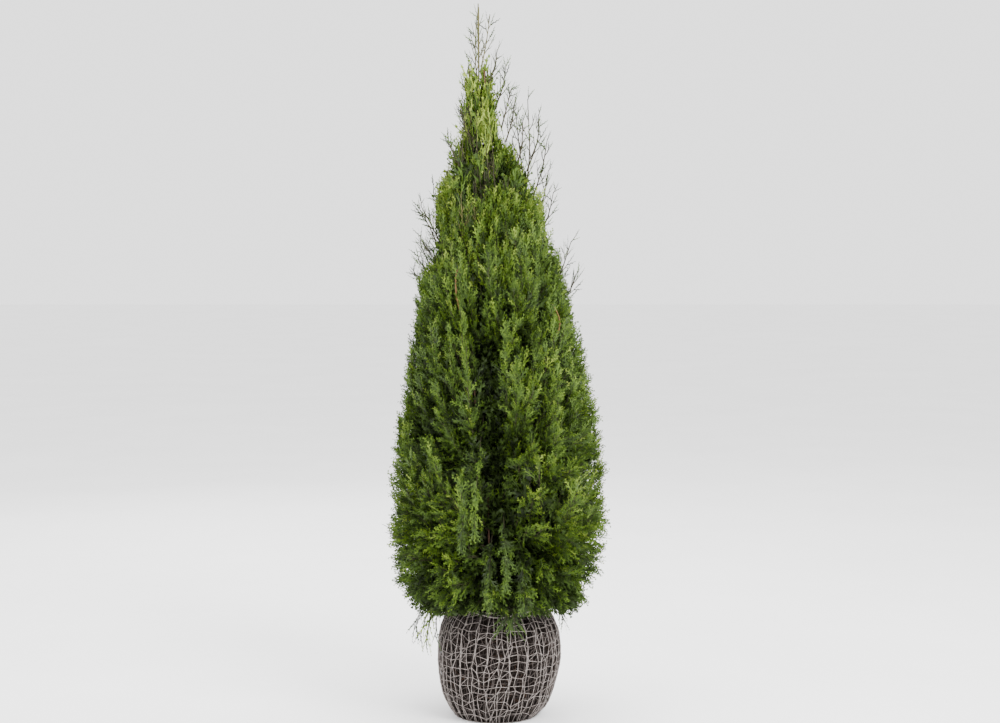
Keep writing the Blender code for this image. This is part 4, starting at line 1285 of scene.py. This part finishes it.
# %% Where the bare shoots stand
SHOOTS = (  # points along each shoot, as (x, y, z)
    ((-0.0455, 0.002, 1.820), (-0.0455, 0.001, 1.925), (-0.0455, 0.000, 2.020)),
    ((-0.040, 0.002, 1.845), (-0.024, 0.001, 1.925), (-0.014, 0.000, 2.000)),
    ((-0.037, -0.012, 1.765), (-0.004, -0.016, 1.842), (0.006, -0.016, 1.898)),
    ((0.000, -0.010, 1.735), (0.022, -0.012, 1.797), (0.030, -0.012, 1.852)),
    ((0.018, -0.020, 1.680), (0.035, -0.022, 1.745), (0.044, -0.022, 1.786)),
    ((-0.055, 0.006, 1.735), (-0.071, 0.008, 1.775), (-0.082, 0.008, 1.800)),
    ((-0.048, 0.010, 1.800), (-0.056, 0.012, 1.880), (-0.054, 0.012, 1.965)),
    ((0.084, -0.020, 1.490), (0.097, -0.022, 1.604), (0.092, -0.022, 1.760)),
    ((0.090, -0.010, 1.560), (0.120, -0.012, 1.646), (0.122, -0.012, 1.716)),
    ((0.098, 0.000, 1.460), (0.132, 0.002, 1.562), (0.148, 0.002, 1.650)),
    ((0.082, 0.004, 1.530), (0.070, 0.006, 1.620), (0.060, 0.006, 1.706)),
    ((0.150, -0.030, 1.170), (0.190, -0.036, 1.285), (0.214, -0.036, 1.360)),
    ((0.160, 0.000, 1.140), (0.210, 0.002, 1.215), (0.232, 0.002, 1.270)),
    ((-0.130, -0.020, 1.270), (-0.180, -0.028, 1.392), (-0.212, -0.028, 1.452)),
    ((-0.140, 0.000, 1.210), (-0.190, 0.002, 1.305), (-0.212, 0.002, 1.355)),
    ((-0.110, -0.010, 1.370), (-0.140, -0.014, 1.430), (-0.157, -0.014, 1.480)),
    ((-0.118, -0.020, 1.290), (-0.160, -0.024, 1.370), (-0.209, -0.024, 1.462)),
    ((-0.112, 0.010, 1.290), (-0.140, 0.014, 1.375), (-0.168, 0.014, 1.450)),
    ((-0.108, -0.030, 1.270), (-0.128, -0.036, 1.350), (-0.146, -0.036, 1.430)),
    ((-0.130, -0.040, 1.255), (-0.172, -0.050, 1.315), (-0.208, -0.050, 1.366)),
    ((-0.125, 0.030, 1.240), (-0.160, 0.036, 1.300), (-0.190, 0.036, 1.352)),
    ((-0.150, 0.000, 1.225), (-0.190, 0.004, 1.270), (-0.217, 0.004, 1.309)),
    ((-0.104, 0.040, 1.300), (-0.122, 0.050, 1.390), (-0.132, 0.050, 1.470)),
    ((-0.155, 0.020, 1.200), (-0.205, 0.026, 1.238), (-0.232, 0.026, 1.276)),
    ((-0.102, 0.020, 1.320), (-0.138, 0.026, 1.420), (-0.176, 0.026, 1.500)),
    ((-0.110, -0.010, 1.260), (-0.150, -0.014, 1.345), (-0.186, -0.014, 1.420)),
    ((-0.112, 0.030, 1.240), (-0.134, 0.036, 1.320), (-0.160, 0.036, 1.392)),
    ((-0.130, 0.000, 1.235), (-0.166, 0.004, 1.290), (-0.196, 0.004, 1.330)),
    ((0.112, -0.030, 1.400), (0.136, -0.036, 1.480), (0.150, -0.036, 1.560)),
    ((0.116, 0.020, 1.360), (0.150, 0.026, 1.430), (0.166, 0.026, 1.500)),
    ((0.060, -0.030, 1.560), (0.076, -0.036, 1.640), (0.078, -0.036, 1.700)),
    ((0.030, -0.030, 1.640), (0.048, -0.034, 1.700), (0.056, -0.034, 1.752)),
    ((-0.062, -0.020, 1.640), (-0.084, -0.024, 1.690), (-0.096, -0.024, 1.730)),
    ((-0.090, -0.020, 1.560), (-0.118, -0.026, 1.610), (-0.132, -0.026, 1.646)),
    ((-0.070, -0.010, 1.680), (-0.080, -0.012, 1.760), (-0.078, -0.012, 1.840)),
    ((-0.074, 0.012, 1.640), (-0.090, 0.016, 1.705), (-0.094, 0.016, 1.764)),
    ((-0.096, -0.118, 1.330), (-0.090, -0.132, 1.405), (-0.094, -0.130, 1.490)),
    ((-0.097, -0.118, 1.345), (-0.080, -0.134, 1.410), (-0.068, -0.130, 1.462)),
    ((-0.060, -0.116, 1.330), (-0.054, -0.132, 1.400), (-0.058, -0.130, 1.468)),
    ((0.020, 0.060, 1.480), (0.045, 0.090, 1.580), (0.050, 0.096, 1.660)),
    ((-0.060, 0.090, 1.330), (-0.075, 0.140, 1.430), (-0.080, 0.150, 1.500)),
    ((0.080, 0.130, 1.180), (0.095, 0.178, 1.280), (0.100, 0.184, 1.345)),
    ((-0.120, 0.120, 1.120), (-0.150, 0.168, 1.210), (-0.155, 0.176, 1.275)),
)
SHOOT_RADII = np.linspace(0.0025, 0.0012, 12)
SIDE_RADII = np.array([0.0014, 0.0011, 0.0007])
SIDES = 8  # side twigs of a shoot
TIP_HEIGHT, TIP_Y = 1.90, -0.10  # shoots that end above or in front of these have the bark of the tips
SIDE_TIP_HEIGHT = 1.84
print("bare shoots:", len(SHOOTS))


# %% Bare shoots
def bare_shoots(draw):
    """Shoots with alternate side twigs, shorter towards the tip, and three slim sprays on each."""
    main = np.array([through(points, 12) for points in SHOOTS])
    count = len(main)
    stops = np.linspace(2, 11, SIDES).astype(int)
    start = main[:, stops]
    along = unit(np.gradient(main, axis=1))[:, stops]
    spin = draw.uniform(-0.7, 0.7, (count, SIDES)) + np.where(np.arange(SIDES) % 2, 0.0, math.pi)
    way = unit(along + 0.52 * outwards(spin))
    tall = np.linalg.norm(main[:, -1] - main[:, 0], axis=1)[:, None]
    length = tall * blend(0.26, 0.09, np.linspace(0, 1, SIDES)) * draw.uniform(0.5, 1.3, (count, SIDES))
    middle = start + way * length[..., None] * 0.5
    end = middle + unit(way + 0.5 * along) * length[..., None] * 0.5
    side = np.stack([start, middle, end], axis=2).reshape(-1, 3, 3)
    side = side[side[:, -1, 2] < TOTAL_HEIGHT - 0.02]

    places = np.array([0.35, 0.72, 0.98])[None, :, None]
    ends = tuple(side[:, None, k] for k in range(3))
    origin = bezier(*ends, places)
    heading = bezier_way(*ends, places)
    plane = square_to(unit(draw.normal(size=heading.shape)), heading)
    angle = np.radians(draw.uniform(25, 45, heading.shape[:2])) * np.array([1.0, -1.0, 0.0])
    heading = swung(heading, plane, angle)
    shape = heading.shape[:2]
    fields = (origin, heading, plane, draw.uniform(0.018, 0.038, shape), np.full(shape, -0.05))
    fields = (*fields, draw.uniform(0.0, 3.0, shape).round(), np.full(shape, SLIM))
    return main, side, Sprays(*(field.reshape(-1, *field.shape[2:]) for field in fields))


main, side, sprays = bare_shoots(draw)
sort_into(heaps, "leader", sprays, draw)
tips = Pile()
high = (main[:, -1, 2] > TIP_HEIGHT) | (main[:, -1, 1] < TIP_Y)
tips.add(*tubes(main[high], 0.85 * SHOOT_RADII, 5))
twigs.add(*tubes(main[~high], SHOOT_RADII, 5))
high = (side[:, 0, 2] > SIDE_TIP_HEIGHT) | (side[:, 0, 1] < TIP_Y)
tips.add(*tubes(side[high], SIDE_RADII, 4))
twigs.add(*tubes(side[~high], SIDE_RADII, 4))
print("side twigs:", len(side), "sprays:", len(sprays.length))

# %% [markdown]
# ## Young stems
#
# Here and there an orange-brown stem of last year shows between two plumes. Drawing it along the
# outline of the leaves, and only sinking its ends, is surer than opening a gap and hoping to see one.

# %% Young stems
YOUNG_STEMS = (  # orange-brown stems that show between the plumes: azimuth, low, high, share of reach
    (-114, 1.11, 1.29, 1.02),
    (-33, 1.06, 1.19, 1.00),
    (20, 1.00, 1.15, 0.82),
    (75, 1.12, 1.28, 0.84),
    (130, 0.90, 1.05, 0.82),
    (160, 1.16, 1.29, 0.86),
)


def young_stems():
    """Paths along the leaves' outline: share - 0.4 (1 - s)^3 - 0.1 s^4 of it, at s from low to high."""
    azimuth, low, high, share = np.array(YOUNG_STEMS).T[..., None]
    lean = np.radians(4) * np.where(np.arange(len(low)) % 2, 1, -1)[:, None]
    steps = np.linspace(0, 1, 12)
    height = blend(low, high, steps)
    around = np.radians(azimuth) + lean * steps
    share = share - 0.40 * (1 - steps) ** 3 - 0.10 * steps**4
    return crown_point(around, share * leaf_reach(around, height), height)


stems = Pile()
stems.add(*tubes(young_stems(), np.linspace(0.0032, 0.0018, 12), 7))
print("young stems:", len(YOUNG_STEMS))

# %% [markdown]
# ## Trunk and boughs
#
# The bark peels in long, narrow strips. Bump in the material alone would leave the trunk's edge smooth
# where it shows between the ball and the leaves, so the strips are shaped too: noise on a cylinder is
# stretched along the trunk and added to the radius of every point of every ring.


# %% Trunk and boughs
RIDGES_AROUND, RIDGES_ALONG = 420, 22  # cells of noise in a metre
TRUNK_RIDGE, BOUGH_RIDGE = 0.0013, 0.0006
LEADER_FOOT = 1.80  # above it the trunk is this year's shoot, still green-brown


def bark_relief(paths, radii, sides, depth):
    """Depth times 1 - 2 |noise|, the noise changing far faster round a limb than along it."""
    n = len(paths)
    turns = np.linspace(0, 2 * math.pi, sides, endpoint=False)
    steps = np.linalg.norm(np.diff(paths, axis=1), axis=2)
    travel = np.concatenate([np.zeros((n, 1)), steps.cumsum(axis=1)], axis=1)
    around = radii[..., None] * RIDGES_AROUND
    along = travel[..., None] * RIDGES_ALONG + 40 * np.arange(n)[:, None, None] + 0 * turns
    place = np.stack([around * np.cos(turns), around * np.sin(turns), along], axis=-1)
    ridges = 1 - np.abs(fractal_noise(place, 3, 5)) * 2
    return depth * ridges * np.clip(radii[..., None] / 0.006, 0.15, 1)


def leader_taper(height):
    """The trunk thins faster where it runs up through the spire, but not at its very tip."""
    return 1 - 0.42 * ease((height - 1.45) / 0.40) + 0.42 * ease((height - 1.88) / 0.12)


def resampled(path, radii, count):
    """A smooth path through the points of another, with its radii read at the same places."""
    spot = np.linspace(0, len(path) - 1, count)
    return through(path, count), np.interp(spot, np.arange(len(path)), radii)


limbs = Pile()
paths, radii = (np.array(part) for part in zip(*(resampled(p, r, 60) for p, r, _ in LIMBS.values())))
limbs.add(*tubes(paths, radii, 14, bark_relief(paths, radii, 14, BOUGH_RIDGE)))
heights = np.linspace(BALL_TOP - 0.02, LEADER_FOOT, 420)
trunk = trunk_axis(heights)[None]
trunk_radii = (trunk_radius(heights) * leader_taper(heights))[None]
limbs.add(*tubes(trunk, trunk_radii, 52, bark_relief(trunk, trunk_radii, 52, TRUNK_RIDGE)))
heights = np.linspace(LEADER_FOOT - 0.001, TOTAL_HEIGHT - 0.0005, 40)
leader_radii = np.maximum(trunk_radius(heights) * leader_taper(heights), 0.0015)
tips.add(*tubes(trunk_axis(heights)[None], leader_radii[None], 10))
print("bark triangles:", limbs.triangles())
print("twig triangles:", [pile.triangles() for pile in (twigs, fine_twigs, tips, stems)])

# %% [markdown]
# ## Soil and roots
#
# Between the strings of its net the ball is bare, dark soil, with crumbs, pits and a few thin roots that
# wander over it. A Displace modifier could roughen a sphere, but then the roots and the net would have
# to be laid on it by eye. Here the skin of the ball is a grid of azimuth and height, pushed in by noise
# at two sizes, and the roots walk at random over the same skin.

# %% The skin of the ball
SETTLED, SETTLED_AZIMUTH, SETTLED_HEIGHT = 0.011, -0.25, 0.045  # a bulge at the foot of the ball


def skin_normal(azimuth, height):
    """Square to the skin: the cross product of a small step round it and a small step up it."""
    above, below = np.minimum(height + 0.002, BALL_TOP), np.maximum(height - 0.002, 0)
    round_way = ball_point(azimuth + 0.01, height) - ball_point(azimuth - 0.01, height)
    return unit(np.cross(round_way, ball_point(azimuth, above) - ball_point(azimuth, below)))


def on_skin(azimuth, height, offset):
    """A point that stands offset off the soil, straight out from its skin.

    On the right the foot of the ball has settled, and bulges a little.
    """
    facing = np.maximum(np.cos(azimuth - SETTLED_AZIMUTH), 0) ** 2
    settled = SETTLED * facing * np.exp(-(((height - SETTLED_HEIGHT) / SETTLED_HEIGHT) ** 2))
    point = ball_point(azimuth, height) + np.asarray(offset)[..., None] * skin_normal(azimuth, height)
    return point + settled[..., None] * outwards(azimuth)


print("a point of the skin:", on_skin(np.array(0.0), np.array(0.1), 0.0).round(3))

# %% Soil and roots
SOIL_ROUND, SOIL_ROWS = 336, 190
LUMP_DEPTH, CRUMB_DEPTH, PIT_DEPTH = 0.0045, 0.0022, 0.004
ROOTS, ROOT_STEPS = 120, 14

def soil_mesh():
    """A skin from the rim of the flat underside to the trunk's seat, closed by a flat disc at each end."""
    share = np.linspace(0, 1, SOIL_ROWS)
    # Rows crowd towards the top, where the skin turns flat.
    height = BALL_TOP * (1 - (1 - share) ** 1.6)
    azimuth = np.linspace(0, 2 * math.pi, SOIL_ROUND, endpoint=False)
    azimuth, height = np.meshgrid(azimuth, height)
    flat = ball_point(azimuth, height)
    lumps = fractal_noise(flat * 42, 3, 21)
    crumbs = fractal_noise(flat * 170, 2, 31)
    depth = -LUMP_DEPTH * (1 - lumps) * 0.5 - CRUMB_DEPTH * (1 - crumbs) * 0.5
    depth = depth - PIT_DEPTH * ease(-lumps * 2 - 0.2)
    points = on_skin(azimuth, height, depth * ease(height / 0.02))
    low, high = points[0], points[-1]
    rings = [blend(low.mean(axis=0), low, 0.02), points.reshape(-1, 3), blend(high.mean(axis=0), high, 0.05)]
    index = np.arange((SOIL_ROWS + 2) * SOIL_ROUND).reshape(SOIL_ROWS + 2, SOIL_ROUND)
    after = np.roll(index, -1, axis=1)
    quads = np.stack([index[:-1], after[:-1], after[1:], index[1:]], axis=-1).reshape(-1, 4)
    pile = Pile()
    pile.add(np.concatenate(rings), [quads, index[:1, ::-1], index[-1:]])
    return pile


def wandering_roots(draw):
    """Paths over the skin of the ball: sums of small random steps round it and up it."""
    one, all_steps = (ROOTS, 1), (ROOTS, ROOT_STEPS)
    azimuth = draw.uniform(0, 2 * math.pi, one) + np.cumsum(draw.normal(size=all_steps) * 0.06, axis=1)
    climb = draw.normal(size=one) * 0.004
    height = draw.uniform(0.02, 0.30, one) + np.cumsum(climb + draw.normal(size=all_steps) * 0.004, axis=1)
    offset = draw.uniform(-0.001, 0.0015, one) + 0 * height
    return on_skin(azimuth, np.clip(height, 0.008, BALL_TOP - 0.004), offset)


soil = soil_mesh()
roots = Pile()
root_paths = wandering_roots(draw)
root_radii = draw.uniform(0.0005, 0.0016, (ROOTS, 1)) * np.linspace(1, 0.6, ROOT_STEPS)
roots.add(*tubes(root_paths, root_radii, 5))
print("soil triangles:", soil.triangles(), "root triangles:", roots.triangles())

# %% [markdown]
# ## The net
#
# For its journey the ball is wrapped in a wide-meshed net of twine and drawn tight with a string round
# its shoulder. Simulated cloth would sag the same way, but it takes minutes and is hard to steer, and a
# Wireframe modifier on the ball would give cells that are far too even. So every knot sits on a grid of
# azimuths and heights and is nudged out of place, the strings run taut between the knots, and three
# such nets lie over each other, the palest on top.

# %% Knots of the net
Net = namedtuple("Net", "uprights rings offset strand jitter bunch top")
NETS = (  # strings up the ball and round it, height off the soil, radius of a string, nudges in cells, top
    Net(66, 17, 0.0046, 0.00098, 0.30, 0.46, 0.345),
    Net(70, 19, 0.0030, 0.00082, 0.48, 0.34, 0.343),
    Net(76, 21, 0.0014, 0.00065, 0.50, 0.24, 0.341),
)
NET_FOOT = 0.0035
STRING_SIDES = 5
SLANTING = 0.16  # share of the cells that a slanting string crosses


def beads(centres, reach):
    """Small eight-sided beads: the six points at reach from a centre along the axes."""
    corners = np.array([(1, 0, 0), (0, 1, 0), (-1, 0, 0), (0, -1, 0), (0, 0, 1), (0, 0, -1)], float)
    faces = np.array([(0, 1, 4), (1, 2, 4), (2, 3, 4), (3, 0, 4), (1, 0, 5), (2, 1, 5), (3, 2, 5), (0, 3, 5)])
    points = centres[:, None] + reach[..., None] * corners
    return points, [(faces + 6 * np.arange(len(centres))[:, None, None]).reshape(-1, 3)]


def net_knots(net, draw):
    """Where the strings of a net cross, as rings of points, and the nudges of the knots round the ball.

    Strings gather in loose bunches by a wave and a noise, so that the cells differ in width, and sag
    between bunches by another noise. The first and the last ring stay level.
    """
    column, row = np.meshgrid(np.arange(net.uprights), np.arange(net.rings))
    nudge = draw.uniform(-1, 1, (2, net.rings, net.uprights)) * net.jitter
    wander = lattice_noise(np.stack([column * 0.9, row * 0.16, 0 * row], -1), 3)
    bunch = net.bunch * np.sin(column * 1.9 + 3.0 * wander)
    azimuth = (column + nudge[0] + bunch) * (2 * math.pi / net.uprights)
    sag = 0.45 * lattice_noise(np.stack([4 * np.cos(azimuth), 4 * np.sin(azimuth), row * 1.7], -1), 17)
    inside = (row > 0) & (row < net.rings - 1)
    share = np.clip((row + (0.8 * nudge[1] + sag) * inside) / (net.rings - 1), 0, 1)
    height = NET_FOOT + (net.top - NET_FOOT) * (1 - (1 - share) ** 1.1)
    offset = net.offset + 0.0012 * lattice_noise(np.stack([column * 0.7, row * 0.7, 0 * row], -1), 9)
    knots = on_skin(azimuth, height, offset)
    knots[..., 2] = np.maximum(knots[..., 2], 2.4 * net.strand)
    return knots, nudge[0]


print("knots:", [net.uprights * net.rings for net in NETS])


# %% The net
def net_mesh(net, draw):
    """One net: closed rings, uprights, a few slanting strings, and a bead for the knot at every crossing."""
    pile = Pile()
    knots, nudge = net_knots(net, draw)
    pile.add(*tubes(knots, net.strand * (0.85 + 0.15 * nudge), STRING_SIDES, closed=True))
    pile.add(*tubes(np.swapaxes(knots, 0, 1), net.strand * 1.05, STRING_SIDES))
    slant = np.stack([knots[:-1], np.roll(knots, -1, axis=1)[1:]], axis=2).reshape(-1, 2, 3)
    some = draw.uniform(size=len(slant)) < SLANTING
    pile.add(*tubes(slant[some], net.strand * 0.8, 4))
    reach = net.strand * draw.uniform(1.5, 2.3, knots.shape[:2])[..., None]
    pile.add(*beads(knots.reshape(-1, 3), reach.reshape(-1, 1)))
    return pile


nets = [net_mesh(net, draw) for net in NETS]
print("net triangles:", [net.triangles() for net in nets])

# %% The drawstring
DRAWSTRING_HEIGHT, DRAWSTRING_OFFSET, DRAWSTRING_RADIUS = 0.318, 0.0068, 0.0017
turns = np.linspace(0, 2 * math.pi, 120, endpoint=False)
for shift, lift in ((0.0, 0.0), (0.9, 0.007)):
    # A loose double ring round the shoulder: its height is a long wave plus a short one.
    height = DRAWSTRING_HEIGHT + lift + 0.010 * np.sin(turns + shift) + 0.003 * np.sin(5 * turns + shift)
    offset = DRAWSTRING_OFFSET + 0.001 * np.sin(9 * turns)
    nets[0].add(*tubes(on_skin(turns, height, offset)[None], DRAWSTRING_RADIUS, 6, closed=True))
print("with the drawstring:", nets[0].triangles())

# %% [markdown]
# ## One finish for all
#
# Nothing on a plant has one flat colour: leaves, bark, soil and twine all wander between a darker and a
# lighter shade. An image could be wrapped round each piece, but tens of thousands of leaves have no
# tidy unwrapping. So the wandering comes from one shared node group, `mottle`: noise at the point's
# own place in the object, stretched where bark has a grain. It also puts out a height for the bump.


# %% The mottle
def mottle_group():
    """Noise at a scale and a stretch, as a colour between two shades and as a height."""
    group = bpy.data.node_groups.new("mottle", "ShaderNodeTree")
    for name, kind in (("Dark", "Color"), ("Light", "Color"), ("Scale", "Float"), ("Stretch", "Vector")):
        group.interface.new_socket(name, in_out="INPUT", socket_type=f"NodeSocket{kind}")
    for name, kind in (("Color", "Color"), ("Height", "Float")):
        group.interface.new_socket(name, in_out="OUTPUT", socket_type=f"NodeSocket{kind}")
    nodes, links = group.nodes, group.links
    given, put = nodes.new("NodeGroupInput"), nodes.new("NodeGroupOutput")
    place = nodes.new("ShaderNodeTexCoord")
    stretch = nodes.new("ShaderNodeVectorMath")
    stretch.operation = "MULTIPLY"
    noise = nodes.new("ShaderNodeTexNoise")
    noise.inputs["Detail"].default_value = 5.0
    noise.inputs["Roughness"].default_value = 0.6
    ramp = nodes.new("ShaderNodeMapRange")
    ramp.inputs["From Min"].default_value = 0.32
    ramp.inputs["From Max"].default_value = 0.68
    mix = nodes.new("ShaderNodeMix")
    mix.data_type = "RGBA"
    colour_a, colour_b = (s for s in mix.inputs if s.type == "RGBA")
    colour_out = next(s for s in mix.outputs if s.type == "RGBA")
    links.new(place.outputs["Object"], stretch.inputs[0])
    links.new(given.outputs["Stretch"], stretch.inputs[1])
    links.new(stretch.outputs[0], noise.inputs["Vector"])
    links.new(given.outputs["Scale"], noise.inputs["Scale"])
    links.new(noise.outputs[0], ramp.inputs["Value"])
    links.new(ramp.outputs["Result"], mix.inputs["Factor"])
    links.new(given.outputs["Dark"], colour_a)
    links.new(given.outputs["Light"], colour_b)
    links.new(colour_out, put.inputs["Color"])
    links.new(ramp.outputs["Result"], put.inputs["Height"])
    return group


MOTTLE = mottle_group()
print("sockets of the group:", [item.name for item in MOTTLE.interface.items_tree])

# %% A material with the mottle
Look = namedtuple("Look", "dark light scale stretch roughness specular bump")


def material(name, look):
    """A Principled BSDF with the mottle on its colour and its bump."""
    made = bpy.data.materials.new(name)
    made.use_nodes = True
    nodes, links = made.node_tree.nodes, made.node_tree.links
    shader = nodes["Principled BSDF"]
    shader.inputs["Roughness"].default_value = look.roughness
    shader.inputs["Specular IOR Level"].default_value = look.specular
    mottle = nodes.new("ShaderNodeGroup")
    mottle.node_tree = MOTTLE
    mottle.inputs["Dark"].default_value = (*look.dark, 1)
    mottle.inputs["Light"].default_value = (*look.light, 1)
    mottle.inputs["Scale"].default_value = look.scale
    mottle.inputs["Stretch"].default_value = look.stretch
    bump = nodes.new("ShaderNodeBump")
    bump.inputs["Strength"].default_value = 0.6
    bump.inputs["Distance"].default_value = look.bump
    links.new(mottle.outputs["Color"], shader.inputs["Base Color"])
    links.new(mottle.outputs["Height"], bump.inputs["Height"])
    links.new(bump.outputs["Normal"], shader.inputs["Normal"])
    return made


# %% [markdown]
# ## Seven greens
#
# From the shaded heart to the tip, the leaves go from an almost black green, which is painted shade,
# through mid green to a pale yellow-green. One material could read its colour from a height or from a
# painted attribute, but with one material for each step, every heap of leaves can be looked at and
# changed by itself.

# %% Seven greens
# The darkest greens are painted shade for the inside of the crown and the hollows.
GREENS = (
    (0.0090, 0.0155, 0.0036),
    (0.0172, 0.0315, 0.0042),
    (0.0305, 0.0580, 0.0064),
    (0.0500, 0.0915, 0.0084),
    (0.0790, 0.1350, 0.0100),
    (0.1320, 0.1930, 0.0190),
    (0.2050, 0.2700, 0.0380),
)
GREEN_SPREAD = 0.22
ALL_WAYS = (1.0, 1.0, 1.0)


def shades(colour):
    """A darker and a lighter shade of a green."""
    return tuple(c * (1 - GREEN_SPREAD) for c in colour), tuple(c * (1 + GREEN_SPREAD) for c in colour)


greens = [
    material(f"green_{k}", Look(*shades(colour), 60.0, ALL_WAYS, 0.55, 0.25, 0.0004))
    for k, colour in enumerate(GREENS)
]
print("greens:", len(greens))

# %% [markdown]
# ## Bark, earth and twine
#
# Old bark is red-brown and fibrous, so its mottle is stretched along the trunk; young bark is orange,
# and that of this year's tips still green-brown. Damp earth is almost black and quite dull. The twine
# is pale on top and painted darker towards the soil, as painted shade, which tells the three nets apart.
# Plain noise is enough for all of them, because their shapes already carry the strips, the crumbs and
# the strings.

# %% Bark, earth and twine
LOOKS = {  # dark, light, scale of the mottle, its stretch, roughness, specular, depth of the bump
    "bark": Look((0.024, 0.013, 0.008), (0.092, 0.050, 0.029), 90.0, (1, 1, 0.12), 0.85, 0.2, 0.0012),
    "twig": Look((0.017, 0.017, 0.009), (0.054, 0.046, 0.024), 70.0, ALL_WAYS, 0.75, 0.2, 0.0003),
    "young_bark": Look((0.095, 0.047, 0.014), (0.200, 0.108, 0.034), 80.0, (1, 1, 0.2), 0.7, 0.3, 0.0004),
    "tip_bark": Look((0.045, 0.048, 0.014), (0.120, 0.105, 0.036), 70.0, ALL_WAYS, 0.7, 0.2, 0.0003),
    "earth": Look((0.0020, 0.0012, 0.0009), (0.0090, 0.0058, 0.0042), 55.0, ALL_WAYS, 0.95, 0.1, 0.0020),
    "root": Look((0.013, 0.007, 0.004), (0.040, 0.021, 0.012), 120.0, ALL_WAYS, 0.85, 0.1, 0.0005),
    # The twine of the lower nets, nearer the soil, is painted darker: painted shade.
    "string_0": Look((0.078, 0.065, 0.059), (0.340, 0.300, 0.280), 140.0, ALL_WAYS, 0.8, 0.2, 0.0004),
    "string_1": Look((0.032, 0.025, 0.023), (0.100, 0.083, 0.076), 140.0, ALL_WAYS, 0.8, 0.2, 0.0004),
    "string_2": Look((0.010, 0.007, 0.006), (0.032, 0.024, 0.020), 140.0, ALL_WAYS, 0.8, 0.2, 0.0004),
}
finish = {name: material(name, look) for name, look in LOOKS.items()}
print("other finishes:", *finish)

# %% [markdown]
# ## Putting the pieces in the frame
#
# Each heap of leaves becomes one object and stands for the foliage solids of its tier. The plant could
# be one single mesh, but whoever reuses it may want to recolour the new growth, take the net away or
# leave out the soil, and separate pieces allow that. Nothing moves, so every piece rides on the root.

# %% Put the pieces in the frame
LEAF_SLOTS = {"skirt": "foliage_deep", "middle": "foliage_mid", "upper": "foliage_mid"}


def nodes_like(*starts):
    """The names of the frame's nodes that start in one of these ways."""
    return [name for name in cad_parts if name.startswith(starts)]


for (name, tone), heap in sorted(heaps.items()):
    made = heap.object(f"leaves_{name}_{tone}", smooth=False)
    dress(made, greens[tone], LEAF_SLOTS.get(name, "foliage_bright"), *nodes_like(f"foliage_{name}"))
    print(made.name, heap.triangles())

dress(twigs.object("twigs", smooth=True), finish["twig"], "bark")
dress(fine_twigs.object("fine_twigs", smooth=True), finish["twig"], "bark")
dress(tips.object("shoot_tips", smooth=True), finish["tip_bark"], "bark")
dress(stems.object("young_stems", smooth=True), finish["young_bark"], "bark")
dress(limbs.object("trunk_and_boughs", smooth=True), finish["bark"], "bark", *nodes_like("trunk", "bough_"))
dress(soil.object("soil", smooth=True), finish["earth"], "soil", *nodes_like("root_ball"))
dress(roots.object("roots", smooth=True), finish["root"], "soil")
for k, net in enumerate(nets):
    dress(net.object(f"net_{k}", smooth=True), finish[f"string_{k}"], "netting", *nodes_like("ball_net"))

# %% [markdown]
# ## The floor
#
# The plant stands on a plain, pale studio floor. It is a single square, so wide that its edge melts into
# the horizon. A curved backdrop would hide the horizon altogether, but it would also catch the shadows
# of the crown.

# %% The floor
FLOOR_REACH = 30
CORNERS = ((-1, -1), (1, -1), (1, 1), (-1, 1))
ground = material("ground", Look((0.90, 0.90, 0.90), (0.94, 0.94, 0.94), 1.5, ALL_WAYS, 0.9, 0.1, 0.0001))
floor_mesh = bpy.data.meshes.new("floor")
floor_mesh.from_pydata([(FLOOR_REACH * x, FLOOR_REACH * y, 0) for x, y in CORNERS], [], [(0, 1, 2, 3)])
floor_mesh.materials.append(ground)
floor = bpy.data.objects.new("floor", floor_mesh)
bpy.context.scene.collection.objects.link(floor)
floor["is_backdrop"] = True
print("floor:", 2 * FLOOR_REACH, "metres square")

# %% [markdown]
# ## Measuring the result
#
# Leaves grow past the plain solids here and there, and by how much is worth knowing before the part is
# used beside others. The box of the finished plant is printed.

# %% Measure and finish
low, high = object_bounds()
print("finished plant from", [round(c, 3) for c in low], "to", [round(c, 3) for c in high])
